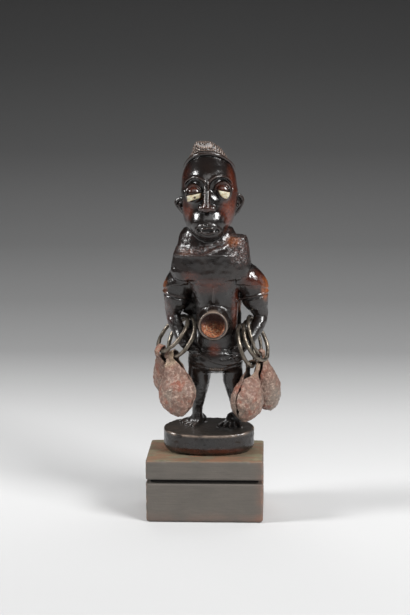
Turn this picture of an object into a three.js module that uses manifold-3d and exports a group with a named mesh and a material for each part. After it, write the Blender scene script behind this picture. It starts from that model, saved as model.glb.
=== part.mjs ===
// A carved wooden power figure with inlaid eyes, iron wrist rings and iron bells, on a grooved block.
// Millimetres, +Z up. The figure faces -Y, and the origin is the middle of the block's underside.

import * as THREE from 'three';
import { mergeVertices } from 'three/addons/utils/BufferGeometryUtils.js';
import Module from 'manifold-3d';

const wasm = await Module();
wasm.setup();

// Driving dimensions
const BLOCK = { width: 74, depth: 48, height: 40.5, slab: 12.3, groove: 2.7, grooveDepth: 2.8 };
const OVAL = { x: 2, y: 2.3, halfWidth: 29, halfDepth: 17.3, frontTop: 54.6, topRise: 0.075 };
const MIDLINE = 6.8;
const TORSO_Y = 3;
const EYE_GAP = 0.3;
const CUP = { x: 6.1, z: 126.2, front: -18, root: -7, rim: 9.3, lip: 1.5, depth: 9.6 };
const HAIRLINE = { y: -6.5, z: 230.5, slope: 0.77, band: 2.2, raise: 0.8 };
const RING = { radius: 13.5, tube: 1, thinRadius: 12.5, thinTube: 0.85 };
const BELL_WALL = 1.2;

// Sides of each kind of round form
const SIDES = {
  body: 16, head: 16, oval: 24, limb: 8, sheet: 8, toe: 5, ear: 5, cup: 16, ring: 18, ringTube: 5,
  bell: 12,
};

// A list of [position, values...] stations, read at any position by straight lines between them
function readStations(stations, position) {
  const last = stations.length - 1;
  let i = 0;
  while (i < last - 1 && stations[i + 1][0] < position) i += 1;
  const [from, to] = [stations[i], stations[i + 1]];
  const t = THREE.MathUtils.clamp((position - from[0]) / (to[0] - from[0]), 0, 1);
  return from.slice(1).map((value, k) => value + (to[k + 1] - value) * t);
}

// A closed skin over rings of points that all have the same count, with a fan over each end
function skin(rings) {
  const count = rings[0].length;
  const points = rings.flat();
  const middle = (ring) => ring.reduce((sum, p) => sum.add(p), new THREE.Vector3()).divideScalar(count);
  points.push(middle(rings[0]), middle(rings[rings.length - 1]));
  const [firstPole, lastPole] = [points.length - 2, points.length - 1];
  const faces = [];
  for (let j = 0; j < count; j += 1) {
    const next = (j + 1) % count;
    faces.push(firstPole, next, j);
    for (let i = 0; i < rings.length - 1; i += 1) {
      const [a, b] = [i * count + j, i * count + next];
      faces.push(a, b, b + count, a, b + count, a + count);
    }
    const base = (rings.length - 1) * count;
    faces.push(lastPole, base + j, base + next);
  }
  const geometry = new THREE.BufferGeometry().setFromPoints(points);
  geometry.setIndex(faces);
  return geometry;
}

// One ring of a superellipse: power 2 is an ellipse, and a higher power is squarer
function superellipse(halfX, halfY, power, sides) {
  return Array.from({ length: sides }, (_, j) => {
    const angle = (j / sides) * Math.PI * 2;
    const [c, s] = [Math.cos(angle), Math.sin(angle)];
    const scale = (Math.abs(c) ** power + Math.abs(s) ** power) ** (-1 / power);
    return new THREE.Vector2(halfX * c * scale, halfY * s * scale);
  });
}

// An upright body from stations [z, x, y, halfX, halfY, power]
function upright(stations, sides, lift = () => 0, grow = 0) {
  return skin(stations.map(([z, x, y, halfX, halfY, power]) => (
    superellipse(halfX + grow, halfY + grow, power, sides)
      .map((p) => new THREE.Vector3(x + p.x, y + p.y, z + lift(y + p.y)))
  )));
}

// A limb along a smooth path from stations [x, y, z, radius, flatness], flatness squeezing it front to back
function limb(stations, sides, stepsPerSpan = 1) {
  const points = stations.map(([x, y, z]) => new THREE.Vector3(x, y, z));
  const path = new THREE.CatmullRomCurve3(points, false, 'centripetal');
  const spans = stations.length - 1;
  const steps = spans * stepsPerSpan;
  const indexed = stations.map((station, i) => [i, station[3], station[4] ?? 1]);
  const rings = [];
  let across = null;
  for (let i = 0; i <= steps; i += 1) {
    const along = path.getTangent(i / steps);
    const centre = path.getPoint(i / steps);
    const [radius, flatness] = readStations(indexed, (i / steps) * spans);
    const seed = across ?? new THREE.Vector3(1, 0, 0);
    across = seed.clone().addScaledVector(along, -seed.dot(along)).normalize();
    const third = new THREE.Vector3().crossVectors(along, across);
    rings.push(superellipse(radius, radius * flatness, 2, sides).map((p) => (
      centre.clone().addScaledVector(across, p.x).addScaledVector(third, p.y)
    )));
  }
  return skin(rings);
}

// An ellipsoid at a centre with three half sizes
function ellipsoid(x, y, z, halfX, halfY, halfZ, around = 12, down = 8) {
  return new THREE.SphereGeometry(1, around, down).scale(halfX, halfY, halfZ).translate(x, y, z);
}

// Geometry to solid and back
function solid(geometry) {
  const bare = geometry.clone();
  bare.deleteAttribute('normal');
  bare.deleteAttribute('uv');
  const merged = mergeVertices(bare, 1e-4);
  return new wasm.Manifold(new wasm.Mesh({
    numProp: 3,
    vertProperties: new Float32Array(merged.attributes.position.array),
    triVerts: new Uint32Array(merged.index.array),
  }));
}

function joined(geometries) {
  return geometries.map(solid).reduce((whole, piece) => whole.add(piece));
}

function toGeometry(shape) {
  const { vertProperties, triVerts } = shape.getMesh();
  const geometry = new THREE.BufferGeometry();
  geometry.setAttribute('position', new THREE.BufferAttribute(new Float32Array(vertProperties), 3));
  geometry.setIndex(Array.from(triVerts));
  return geometry;
}

// Grooved block: one sawn piece with a shadow groove all round below its top slab
function blockSolid() {
  const { width, depth, height, slab, groove, grooveDepth } = BLOCK;
  const box = (w, d, low, high) => new THREE.BoxGeometry(w, d, high - low).translate(0, 0, (low + high) / 2);
  const cutTop = height - slab;
  const cutLow = cutTop - groove;
  const overlap = 1;
  return joined([
    box(width, depth, 0, cutLow),
    box(width - 2 * grooveDepth, depth - 2 * grooveDepth, cutLow - overlap, cutTop + overlap),
    box(width, depth, cutTop, height),
  ]);
}

// Oval footing carved with the figure: undercut below, with a top that rises a little to the back
const ovalTop = (y) => OVAL.frontTop + (y + OVAL.halfDepth - OVAL.y) * OVAL.topRise;

function ovalFooting() {
  const { x, y, halfWidth, halfDepth } = OVAL;
  const power = 2.3;
  const wallTop = 52;
  const roundedEdge = 1.1;
  const ring = (inset, z) => [z, x, y, halfWidth - inset, halfDepth - inset, power];
  const wall = [ring(3.2, BLOCK.height), ring(0.6, 43.2), ring(0, 45.5), ring(0, wallTop)];
  const top = [ring(0, wallTop - 1), ring(0, ovalTop(0) - 1), ring(roundedEdge, ovalTop(0))];
  return [
    upright(wall, SIDES.oval),
    upright(top, SIDES.oval, (at) => ovalTop(at) - ovalTop(0)),
  ];
}

// Trunk, with a wrapped cloth that flares over the hips and a chest that spreads under the yoke
const TRUNK = [
  [92.5, 7.2, TORSO_Y, 9, 6.5, 2],
  [94.5, 6.9, TORSO_Y, 14, 10, 2.1],
  [97, 6.6, TORSO_Y, 17, 12, 2.2],
  [101, 6.6, TORSO_Y, 17.6, 12.6, 2.2],
  [104.5, 6.7, TORSO_Y, 16.6, 12.2, 2.2],
  [109, 7, TORSO_Y, 14, 11.6, 2.2],
  [118, 7.5, TORSO_Y, 12.6, 11.6, 2.2],
  [125, 7.8, TORSO_Y, 12.8, 12, 2.4],
  [134, 7.8, TORSO_Y, 13.2, 11.2, 2.5],
  [144, 7.4, TORSO_Y, 13.8, 10.8, 2.6],
  [149.5, 6.8, TORSO_Y, 18, 12, 2.4],
  [154, 6, TORSO_Y, 22, 12.6, 2.3],
  [160, 5, TORSO_Y, 21, 12, 2.2],
];

// Yoke: a thick collar round the neck and chest, with a ridge, and a square block on the right shoulder
const YOKE = [
  [152, 4, 2, 19, 12, 2.3],
  [154.5, 3.6, 2, 23.6, 15, 2.4],
  [158, 3.4, 2, 25, 16, 2.4],
  [164, 3.8, 2, 24.4, 16.4, 2.3],
  [169.5, 3.8, 2, 23.2, 16.4, 2.2],
  [171.8, 3.4, 2, 21.8, 14.8, 2.1],
  [175, 3, 2.5, 20.2, 12.8, 2],
  [181, 2.2, 3, 17.8, 11.4, 2],
  [185, 2.4, 3.3, 15.4, 10.4, 2],
];
const SHOULDER_BLOCK = [
  [156, 21, 2, 7.6, 11, 2.6],
  [160, 20.6, 2, 8.8, 12.2, 2.8],
  [170, 19.8, 2, 8.6, 11.6, 2.8],
  [177, 19.6, 2.5, 7.8, 10, 2.8],
  [179.4, 20.2, 2.5, 6.4, 8.4, 2.6],
];

// Chest that fills in under the middle of the yoke: centre and half sizes
const CHEST = [4.6, -3.6, 150, 11, 9.6, 12];

// Right arm, shoulder to hand. The left arm is its mirror about the midline, with the forearm held closer
const ARM = [
  [17, 3, 155.5, 9, 1],
  [26.6, 3.6, 152.8, 9.4, 1],
  [30.9, 4.6, 146, 8.8, 1.05],
  [31.4, 5.4, 139.5, 8.3, 1.05],
  [33.9, 6.8, 133.5, 5.8, 1.05],
  [35.3, 7.6, 128.4, 4.5, 1],
  [34.2, 5, 123.6, 4.5, 1],
  [31.2, 1.4, 118.6, 4.4, 1],
  [26.8, -3.6, 112.6, 3.8, 1],
  [21.6, -6.4, 108.4, 4.1, 0.7],
  [17.6, -7.6, 106.6, 3, 0.7],
];
const CLOSER = [0, 0, 0, 0, 0.6, 1.2, 1.6, 1.4, 0.6, 0, 0];
const leftArm = ARM.map(([x, ...rest], i) => [2 * MIDLINE - x + CLOSER[i], ...rest]);

// Wood left standing behind the arms as thin sheets, and between the forearms and the hips
const SHEETS = [
  [
    [104, -4, 10, 4, 3, 2.4],
    [118, -6, 12.4, 5.8, 2.1, 2.6],
    [130, -6, 12.8, 5.8, 2, 2.6],
    [137, -6.8, 11, 6.8, 3.4, 2.6],
    [140, -9.4, 9, 7.6, 5, 2.6],
    [152, -11, 6, 8, 6, 2.6],
  ],
  [
    [104, 17, 10, 4, 3, 2.4],
    [118, 18, 12.6, 5, 2, 2.6],
    [128, 18, 12.6, 5, 2.1, 2.6],
    [138, 18.6, 10, 4.6, 4.2, 2.6],
    [141.5, 21.5, 8.4, 6, 5, 2.6],
    [152, 23, 6, 6, 6, 2.6],
  ],
];
const HIPS = [
  [
    [99, -2, 3.5, 7, 8, 2.2],
    [108, -4, 3.4, 7, 7.2, 2.2],
    [113, -7, 3.2, 7.2, 6.4, 2.2],
    [117.5, -9.6, 3, 7, 5.2, 2.2],
    [119.8, -10, 3, 5, 3.4, 2.2],
  ],
  [
    [99, 16, 3.5, 7, 8, 2.2],
    [108, 18.4, 3.2, 6.8, 6.8, 2.2],
    [113, 21, 2.8, 7, 5.8, 2.2],
    [117, 23, 1.6, 6.6, 4.2, 2.2],
    [119.8, 23.4, 0.8, 4.6, 2.6, 2.2],
  ],
];

// Legs from the hip to the ankle, the left one fuller at the thigh
const LEGS = [
  [
    [-1.4, 3.2, 100, 8.2],
    [-3.6, 3.4, 93, 7.5],
    [-3.6, 4, 86, 6.4],
    [-4.2, 5.2, 76, 4.4],
    [-5.5, 7, 67, 3.1],
    [-5.7, 8.2, 60, 3.4],
  ],
  [
    [15, 3.2, 100, 7.6],
    [17.2, 3.4, 93, 6.8],
    [17.5, 4, 86, 6],
    [18.6, 5.2, 76, 4.4],
    [19.9, 7, 67, 3.1],
    [20.1, 8.2, 60, 3.4],
  ],
];

// A foot from heel to toes: flat sections that widen and thin, then five toes spread like a fan.
// Sections are [share of the length, half width, height], sunk a little into the footing's top
const FOOT_SECTIONS = [[0, 2.2, 3.6], [0.12, 3.4, 5.4], [0.4, 4.2, 5], [0.7, 5.6, 3.6], [0.88, 6, 2.6]];
const FOOT = { power: 2.2, sink: 0.4, under: 1.5 };
const TOE = { count: 5, rootAt: 0.72, rootSpread: 0.6, shortening: 0.3, rootRadius: 1.5, tipRadius: 1.2 };

function foot(heel, toes, spread) {
  const forward = toes.clone().sub(heel);
  const side = new THREE.Vector2(-forward.y, forward.x).normalize();
  const along = (t, offset) => heel.clone().addScaledVector(forward, t).addScaledVector(side, offset);
  const rings = FOOT_SECTIONS.map(([t, halfWidth, height]) => (
    superellipse(halfWidth, height, FOOT.power, SIDES.limb).map((p) => {
      const at = along(t, p.x);
      return new THREE.Vector3(at.x, at.y, ovalTop(at.y) - FOOT.sink + Math.max(p.y, -FOOT.under));
    })
  ));
  const prongs = Array.from({ length: TOE.count }, (_, i) => {
    const share = i / (TOE.count - 1) - 0.5;
    const root = along(TOE.rootAt, share * spread * TOE.rootSpread);
    const tip = along(1 - TOE.shortening * share * share, share * spread);
    return limb([
      [root.x, root.y, ovalTop(root.y) + TOE.rootRadius * 1.2, TOE.rootRadius],
      [tip.x, tip.y, ovalTop(tip.y) + TOE.tipRadius * 0.9, TOE.tipRadius],
    ], SIDES.toe);
  });
  return [skin(rings), ...prongs];
}

// Head: an egg with a high cranium and an off-centre crest
const HEAD = [
  [177.8, 3.5, -5.4, 4.4, 4.8, 2],
  [180.2, 3.3, -4.4, 8, 9.6, 2],
  [184, 2.9, -1.8, 11.8, 14.2, 2],
  [190, 3, 0.5, 15.3, 17.5, 2],
  [199, 3.5, 1.8, 17.2, 18.8, 2],
  [208.5, 3.5, 2.4, 17.8, 19.4, 2],
  [218, 3.2, 3, 15.9, 18, 2],
  [223.5, 3.2, 3.4, 14.2, 16, 2],
  [228.5, 2.7, 3.8, 11.8, 13, 2.1],
  [232, 2.7, 4, 9.6, 10.5, 2.2],
  [235.2, 1.6, 4.2, 7.8, 8.8, 2.4],
  [237.2, 0.3, 4.3, 5.6, 6.4, 2.6],
  [238.2, 0.2, 4.4, 4, 4.6, 2.6],
];

// Forehead that bulges in front of the egg: centre and half sizes
const FOREHEAD = [3.3, 1.6, 215.5, 16, 18.6, 13.5];

// The part of a head grown by a raise that lies behind the hairline plane, shifted along it by an offset
function behindHairline(raise, offset) {
  const size = 80;
  const { y, z, slope } = HAIRLINE;
  const keep = new THREE.BoxGeometry(size, size, size).translate(0, 0, size / 2 + offset);
  keep.rotateX(-Math.atan(slope)).translate(0, y, z);
  return solid(upright(HEAD, SIDES.head, () => 0, raise)).intersect(solid(keep));
}

function coiffure() {
  const { band, raise } = HAIRLINE;
  const rim = behindHairline(raise, 0).subtract(behindHairline(raise * 2, band));
  return rim.add(behindHairline(raise * 0.5, band * 0.5));
}

// Face features in front of the egg: nose, muzzle, lips, brow sockets and bulging eyelids
const EYES = [
  {
    name: 'left',
    x: -5,
    z: 206.4,
    turn: -14,
    hollow: [-4.2, 210.2],
    ball: [-5.2, 208.2],
    shape: [[-4.5, 0.7], [-3.9, -3.2], [4.2, -0.4], [4.5, 2.6]],
  },
  {
    name: 'right',
    x: 13.2,
    z: 208.8,
    turn: 14,
    hollow: [10.9, 210.8],
    ball: [12.3, 209.6],
    shape: [[-3.8, 1.9], [-3, -0.6], [-1.5, -2.6], [1.2, -3.8], [3.1, -2.1], [3.6, 0.5]],
  },
];
const NOSE = [[2.9, -15.4, 213.5, 1.7], [2.7, -18, 206, 2], [2.6, -20.3, 199.5, 3]];

function faceForms() {
  const wing = (x) => ellipsoid(x, -18, 199.6, 2.6, 2.8, 2.4, 8, 5);
  const lid = ({ ball: [x, z] }) => ellipsoid(x, -11.3, z, 6, 5.6, 6.3, 10, 6);
  return [
    limb(NOSE, 8, 2),
    wing(-0.2),
    wing(6),
    ellipsoid(3, -12.8, 190.2, 9.6, 6.9, 6.4, 10, 6),
    ellipsoid(3.3, -13.2, 185.6, 8.4, 6, 4.8, 10, 6),
    ellipsoid(3.3, -18.4, 187.6, 6.4, 1.8, 1.6, 8, 4),
    ellipsoid(3.3, -18, 184, 6, 1.9, 1.8, 8, 4),
    ...EYES.map(lid),
  ];
}

function browSocket({ hollow: [x, z] }) {
  return solid(ellipsoid(x, -17.6, z, 7.6, 4.4, 7.6, 12, 6));
}

// A C-shaped ear: a rolled rim that swells out near its top and tapers down to the jaw, round a thin
// shell. side is -1 for the left ear and 1 for the right one
const EAR = { reach: 5.1, root: -1.2, rim: 1.3, front: 3.2, back: 1.8, spans: 6, crowding: 1.4, swell: 0.62 };

function ear(side, x, z, halfHeight) {
  const rim = Array.from({ length: EAR.spans + 1 }, (_, i) => {
    const share = (i / EAR.spans) ** EAR.crowding;
    const out = Math.sin(Math.PI * share ** EAR.swell);
    const height = z + halfHeight * (1 - 2 * share);
    return [x + side * (EAR.reach * out + EAR.root), EAR.front + EAR.back * out, height, EAR.rim];
  });
  return [limb(rim, SIDES.ear), ellipsoid(x + side * 0.6, 5.2, z, 2.7, 1.3, halfHeight * 0.9, 8, 5)];
}

// An anticlockwise outline grown by a margin: each corner moves to where its two moved edges meet
function grown(corners, margin) {
  const points = corners.map(([u, v]) => new THREE.Vector2(u, v));
  const normal = (from, to) => new THREE.Vector2(to.y - from.y, from.x - to.x).normalize();
  return points.map((point, i) => {
    const before = normal(points.at(i - 1), point);
    const after = normal(point, points[(i + 1) % points.length]);
    const corner = before.clone().add(after).divideScalar(1 + before.dot(after));
    return point.clone().addScaledVector(corner, margin);
  });
}

// An eye inlay, grown by a margin, as a plate that stands forward from its back by a depth
const INLAY = { depth: 2.2, back: -15.4 };

function inlayForm({ shape }, margin, depth) {
  const outline = new THREE.Shape(grown(shape, margin));
  const form = new THREE.ExtrudeGeometry(outline, { depth, bevelEnabled: false });
  return form.rotateX(Math.PI / 2);
}

function placeInlay(object, { x, z, turn }) {
  object.position.set(x, INLAY.back, z);
  object.rotation.z = THREE.MathUtils.degToRad(turn);
  object.updateMatrix();
  return object;
}

function eyeSocket(eye) {
  const place = placeInlay(new THREE.Object3D(), eye);
  const opening = 6;
  const form = inlayForm(eye, EYE_GAP, INLAY.depth + EYE_GAP + opening);
  return form.translate(0, EYE_GAP, 0).applyMatrix4(place.matrix);
}

// Belly cup: a stub that stands out of the belly, with a funnel hollow. Profiles are [radius, distance
// back from the rim's front], turned about an axis that runs front to back
function turnedForward(profile) {
  const points = profile.map(([radius, back]) => new THREE.Vector2(radius, back));
  return new THREE.LatheGeometry(points, SIDES.cup).translate(CUP.x, CUP.front, CUP.z);
}

function cupStub() {
  const { front, root, rim } = CUP;
  const length = root - front;
  return turnedForward([
    [0, 0],
    [rim - 0.8, 0],
    [rim, 0.9],
    [rim + 0.4, length * 0.6],
    [rim + 1.4, length],
    [0, length],
  ]);
}

function cupHollow() {
  const { rim, lip, depth } = CUP;
  const inner = rim - lip;
  const beyond = -2;
  return turnedForward([
    [0, beyond],
    [inner, beyond],
    [inner - 0.2, 0.6],
    [inner - 1.6, depth * 0.45],
    [inner * 0.42, depth * 0.8],
    [0, depth],
  ]);
}

function figureSolid() {
  const forms = [
    ...ovalFooting(),
    upright(TRUNK, SIDES.body),
    upright(YOKE, SIDES.body),
    upright(SHOULDER_BLOCK, SIDES.limb),
    limb(ARM, SIDES.limb),
    limb(leftArm, SIDES.limb),
    ...LEGS.map((stations) => limb(stations, SIDES.limb)),
    ...foot(new THREE.Vector2(-3, 12.8), new THREE.Vector2(-12.9, 4.6), 13.5),
    ...foot(new THREE.Vector2(17, 13), new THREE.Vector2(15.6, 0), 14.5),
    ...SHEETS.map((stations) => upright(stations, SIDES.sheet)),
    ...HIPS.map((stations) => upright(stations, SIDES.sheet)),
    ellipsoid(...CHEST),
    ...ear(-1, -13.6, 198.5, 5),
    ...ear(1, 20.1, 199.3, 6.7),
    cupStub(),
  ];
  const egg = solid(upright(HEAD, SIDES.head)).add(solid(ellipsoid(...FOREHEAD, 12, 7)));
  const head = EYES.reduce((shape, eye) => shape.subtract(browSocket(eye)), egg);
  const carved = joined(forms).add(head).add(coiffure()).add(joined(faceForms()));
  const hollowed = carved.subtract(solid(cupHollow()));
  return EYES.reduce((shape, eye) => shape.subtract(solid(eyeSocket(eye))), hollowed);
}

// Iron rings round the wrists: centre, a direction square to the ring, middle radius and wire radius
const iron = (centre, axis, radius = RING.radius, tube = RING.tube) => ({ centre, axis, radius, tube });
const RINGS = {
  left_wrist_ring_outer: iron([-20.6, 2.8, 117], [0.69, 0.32, -0.64]),
  left_wrist_ring_inner: iron([-14.9, 1.3, 115], [0.75, 0.42, -0.5]),
  right_wrist_ring_inner: iron([26.3, -0.6, 109.9], [0.93, -0.21, 0.32]),
  right_wrist_ring_outer: iron([32.2, 2.9, 112.6], [0.83, -0.35, 0.45]),
  right_wrist_ring_thin: iron([31.5, 4.8, 115.4], [0.95, -0.13, 0.3], RING.thinRadius, RING.thinTube),
};

function ringGeometry({ radius, tube }) {
  return new THREE.TorusGeometry(radius, tube, SIDES.ringTube, SIDES.ring);
}

function placeRing(object, { centre, axis }) {
  object.position.set(...centre);
  object.quaternion.setFromUnitVectors(new THREE.Vector3(0, 0, 1), new THREE.Vector3(...axis).normalize());
  object.updateMatrix();
  return object;
}

function lowestPoint({ centre, axis, radius }) {
  const normal = new THREE.Vector3(...axis).normalize();
  const down = new THREE.Vector3(0, 0, -1).addScaledVector(normal, normal.z).normalize();
  return new THREE.Vector3(...centre).addScaledVector(down, radius);
}

// Iron bells of folded sheet. Stations run down from the strap's eye: distance, half width, half depth
const STRAP = [
  [-3.9, 0.8, 0.7],
  [-2.6, 0.95, 0.95],
  [0, 1, 1],
  [4.2, 1.1, 0.9],
];
const BELL_BODY = [
  [10.7, 7.4, 5.2],
  [17.2, 10.5, 7.4],
  [23.6, 12, 8.4],
  [30.3, 10.4, 7.3],
  [35.6, 6, 4.6],
  [38.7, 1.2, 1.2],
];
const BELL_LENGTH = 38.7;
const HOLLOW = { from: 10, to: 36 };
const EYE_HOLE = { wall: 0.9, halfHeight: 1.7, play: 0.35 };
const SLIT = { width: 1.3, top: 8.5 };

// Each bell hangs from the lowest point of its ring: how far it leans in x and y for each millimetre down,
// which way its broad side faces, its size against the stations, and the half sizes of its strap
const BELLS = {
  bell_left_front: {
    ring: 'left_wrist_ring_inner',
    hang: [0.17, -0.46],
    face: [0.85, -0.53],
    size: [1.08, 1, 1.02],
    strap: [3.1, 4.6],
  },
  bell_left_back: {
    ring: 'left_wrist_ring_outer',
    hang: [0.2, 0.54],
    face: [0.82, -0.57],
    size: [0.96, 0.9, 1.18],
    strap: [2.7, 3.9],
  },
  bell_right_front: {
    ring: 'right_wrist_ring_inner',
    hang: [-0.175, -0.265],
    face: [-0.57, -0.82],
    size: [0.96, 1.2, 0.93],
    strap: [2.9, 4.3],
  },
  bell_right_back: {
    ring: 'right_wrist_ring_thin',
    hang: [0.16, 0.36],
    face: [-0.42, -0.91],
    size: [0.92, 0.98, 1.13],
    strap: [2.5, 2.5],
  },
};

// A skin through a bell's stations, pulled in by an inset, between two distances down from the eye
const THINNEST = 0.3;

function bellSkin({ size, strap }, inset = 0, from = -Infinity, to = Infinity) {
  const [wide, deep, long] = size;
  const stations = [
    ...STRAP.map(([down, w, d]) => [down, w * strap[0], d * strap[1]]),
    ...BELL_BODY.map(([down, w, d]) => [down * long, w * wide, d * deep]),
  ].filter(([down]) => down >= from * long && down <= to * long);
  const rings = stations.map(([down, halfWidth, halfDepth]) => (
    superellipse(Math.max(halfWidth - inset, THINNEST), Math.max(halfDepth - inset, THINNEST), 2, SIDES.bell)
      .map((p) => new THREE.Vector3(p.x, p.y, -down))
  ));
  return skin(rings.reverse());
}

function placeBell(object, { ring, hang, face }) {
  const up = new THREE.Vector3(-hang[0], -hang[1], 1).normalize();
  const width = new THREE.Vector3(...face, 0);
  width.addScaledVector(up, -up.dot(width)).normalize();
  const depth = new THREE.Vector3().crossVectors(up, width);
  object.quaternion.setFromRotationMatrix(new THREE.Matrix4().makeBasis(width, depth, up));
  object.position.copy(lowestPoint(RINGS[ring]));
  object.updateMatrix();
  return object;
}

// Two valves that meet only at the neck: a hollow body, slit down both sides, under a strap with its eye
function bellSolid(bell) {
  const [, , long] = bell.size;
  const outer = solid(bellSkin(bell));
  const hollow = solid(bellSkin(bell, BELL_WALL, HOLLOW.from, HOLLOW.to));
  const beyond = 40;
  const hole = new THREE.CylinderGeometry(1, 1, beyond, 10)
    .scale(EYE_HOLE.halfHeight, 1, bell.strap[1] - EYE_HOLE.wall)
    .rotateZ(Math.PI / 2);
  const ring = RINGS[bell.ring];
  const passage = ringGeometry({ ...ring, tube: ring.tube + EYE_HOLE.play })
    .applyMatrix4(placeRing(new THREE.Object3D(), ring).matrix)
    .applyMatrix4(placeBell(new THREE.Object3D(), bell).matrix.invert());
  const slitHeight = BELL_LENGTH * long - SLIT.top + 2;
  const slit = new THREE.BoxGeometry(beyond, SLIT.width, slitHeight)
    .translate(0, 0, -SLIT.top - slitHeight / 2);
  return [hole, passage, slit].reduce((shape, cut) => shape.subtract(solid(cut)), outer.subtract(hollow));
}

// Materials
const finish = (color, roughness, metalness) => (
  new THREE.MeshStandardMaterial({ color, roughness, metalness })
);
const oiledWood = finish(0x2a1c17, 0.38, 0);
const bone = finish(0xd8ccb0, 0.55, 0);
const wornIron = finish(0x5b5047, 0.5, 0.7);
const rustedIron = finish(0x7a5142, 0.8, 0.35);
const waxedBlock = finish(0x5c5650, 0.62, 0);

function addMesh(group, name, geometry, material) {
  const mesh = new THREE.Mesh(geometry, material);
  mesh.name = name;
  group.add(mesh);
  return mesh;
}

const figure = new THREE.Group();
addMesh(figure, 'plinth_block', toGeometry(blockSolid()), waxedBlock);
addMesh(figure, 'carved_figure', toGeometry(figureSolid()), oiledWood);

for (const eye of EYES) {
  placeInlay(addMesh(figure, `eye_inlay_${eye.name}`, inlayForm(eye, 0, INLAY.depth), bone), eye);
}

for (const [name, ring] of Object.entries(RINGS)) {
  placeRing(addMesh(figure, name, ringGeometry(ring), wornIron), ring);
}

for (const [name, bell] of Object.entries(BELLS)) {
  placeBell(addMesh(figure, name, toGeometry(bellSolid(bell)), rustedIron), bell);
}

export default figure;
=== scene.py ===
# %% [markdown]
# # A carved power figure with bells, on a grooved block
#
# The real thing is one piece of dense wood, carved, smoked and oiled until it is almost black, with two
# bone plates let into its eyes, iron rings round its wrists and folded iron bells on the rings. Each step
# below first says what the piece is and how it could be made, and then makes it. Sizes are in millimetres
# until the moment a mesh is made, +Z is up, and the figure faces -Y.

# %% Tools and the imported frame
import math

import bpy
import numpy as np
from mathutils import Matrix, Vector


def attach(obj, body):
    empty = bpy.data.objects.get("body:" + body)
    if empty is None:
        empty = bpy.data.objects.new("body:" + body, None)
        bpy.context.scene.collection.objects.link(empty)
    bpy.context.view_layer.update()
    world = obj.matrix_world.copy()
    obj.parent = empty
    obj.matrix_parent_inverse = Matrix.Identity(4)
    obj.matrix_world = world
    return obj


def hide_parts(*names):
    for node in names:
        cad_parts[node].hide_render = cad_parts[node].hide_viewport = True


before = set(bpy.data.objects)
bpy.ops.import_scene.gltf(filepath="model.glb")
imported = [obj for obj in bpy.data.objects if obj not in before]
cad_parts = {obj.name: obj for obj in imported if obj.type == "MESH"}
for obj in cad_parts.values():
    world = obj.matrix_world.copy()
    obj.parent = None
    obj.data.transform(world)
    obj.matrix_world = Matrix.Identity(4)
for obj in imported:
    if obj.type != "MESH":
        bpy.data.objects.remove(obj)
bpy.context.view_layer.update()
MM = 0.001


def new_object(name, data):
    """An object for some data, put into the scene."""
    made = bpy.data.objects.new(name, data)
    bpy.context.scene.collection.objects.link(made)
    return made


print("CAD nodes:", ", ".join(sorted(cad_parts)))

# %% [markdown]
# ## Camera
#
# A long lens from a little above, as for a catalogue picture. The view is given as a maker would set it
# up: how far the camera stands off, how far round and how high it is turned, what it looks at, and how
# long the lens is for a sensor 36 mm on its long side.

# %% Camera
AIM = (0.22, 0.0, 134.36)
STAND_OFF = 901.5
AZIMUTH, ELEVATION, ROLL = (math.radians(a) for a in (3.04, 11.29, -0.47))
IMAGE_HEIGHT = 615
FOCAL_PIXELS = 1426.8
SENSOR = 36.0


def camera_axes():
    """Right, up and back: back points from the aim to the camera, right is level, and the roll turns both."""
    flat = math.cos(ELEVATION)
    back = np.array([math.sin(AZIMUTH) * flat, -math.cos(AZIMUTH) * flat, math.sin(ELEVATION)])
    right = np.cross(-back, (0, 0, 1))
    right /= np.linalg.norm(right)
    up = np.cross(right, -back)
    c, s = math.cos(ROLL), math.sin(ROLL)
    return right * c + up * s, up * c - right * s, back


def add_camera():
    """A camera whose matrix has the three axes as columns and the stand-off along back as its place."""
    data = bpy.data.cameras.new("camera")
    data.sensor_width = SENSOR
    data.lens = FOCAL_PIXELS / IMAGE_HEIGHT * SENSOR
    camera = new_object("camera", data)
    axes = camera_axes()
    place = (np.array(AIM) + axes[2] * STAND_OFF) * MM
    camera.matrix_world = Matrix([[*row, p] for row, p in zip(np.stack(axes, 1), place)] + [[0, 0, 0, 1]])
    return camera


bpy.context.scene.camera = add_camera()
print("lens, mm:", round(bpy.context.scene.camera.data.lens, 1))

# %% [markdown]
# ## From arrays to meshes
#
# Every piece below ends as an array of points and an array of faces. One function puts them into a mesh,
# scales them to metres, smooths their shading, and hangs the new object on the frame in place of the
# solid it stands for.

# %% Making a piece
def make_piece(name, points, faces, replaces=()):
    """A mesh object at the origin from points in millimetres and rows of corner numbers."""
    mesh = bpy.data.meshes.new(name)
    mesh.from_pydata(np.asarray(points) * MM, [], faces if isinstance(faces, list) else faces.tolist())
    mesh.shade_smooth()
    piece = new_object(name, mesh)
    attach(piece, "root")
    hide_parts(*replaces)
    print(f"{name}: {len(mesh.vertices)} points, {len(mesh.polygons)} faces")
    return piece


def grid_faces(numbers):
    """Four-cornered faces between the neighbours in a grid of point numbers."""
    here, beside = numbers[:, :-1], numbers[:, 1:]
    return np.stack([here[:-1], beside[:-1], beside[1:], here[1:]], -1).reshape(-1, 4)


def points_of(piece):
    """A piece's points as rows of x, y and z, in millimetres."""
    flat = np.empty(len(piece.data.vertices) * 3, np.float32)
    piece.data.vertices.foreach_get("co", flat)
    return flat.reshape(-1, 3).astype(float) / MM


def set_values(piece, name, values):
    """Keeps one number for each point of a piece, for its material to read."""
    attribute = piece.data.attributes.new(name, "FLOAT", "POINT")
    attribute.data.foreach_set("value", np.asarray(values, np.float32))


def set_all(piece, named):
    """Keeps several named numbers for each point of a piece."""
    for name, values in named.items():
        set_values(piece, name, values)


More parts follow.
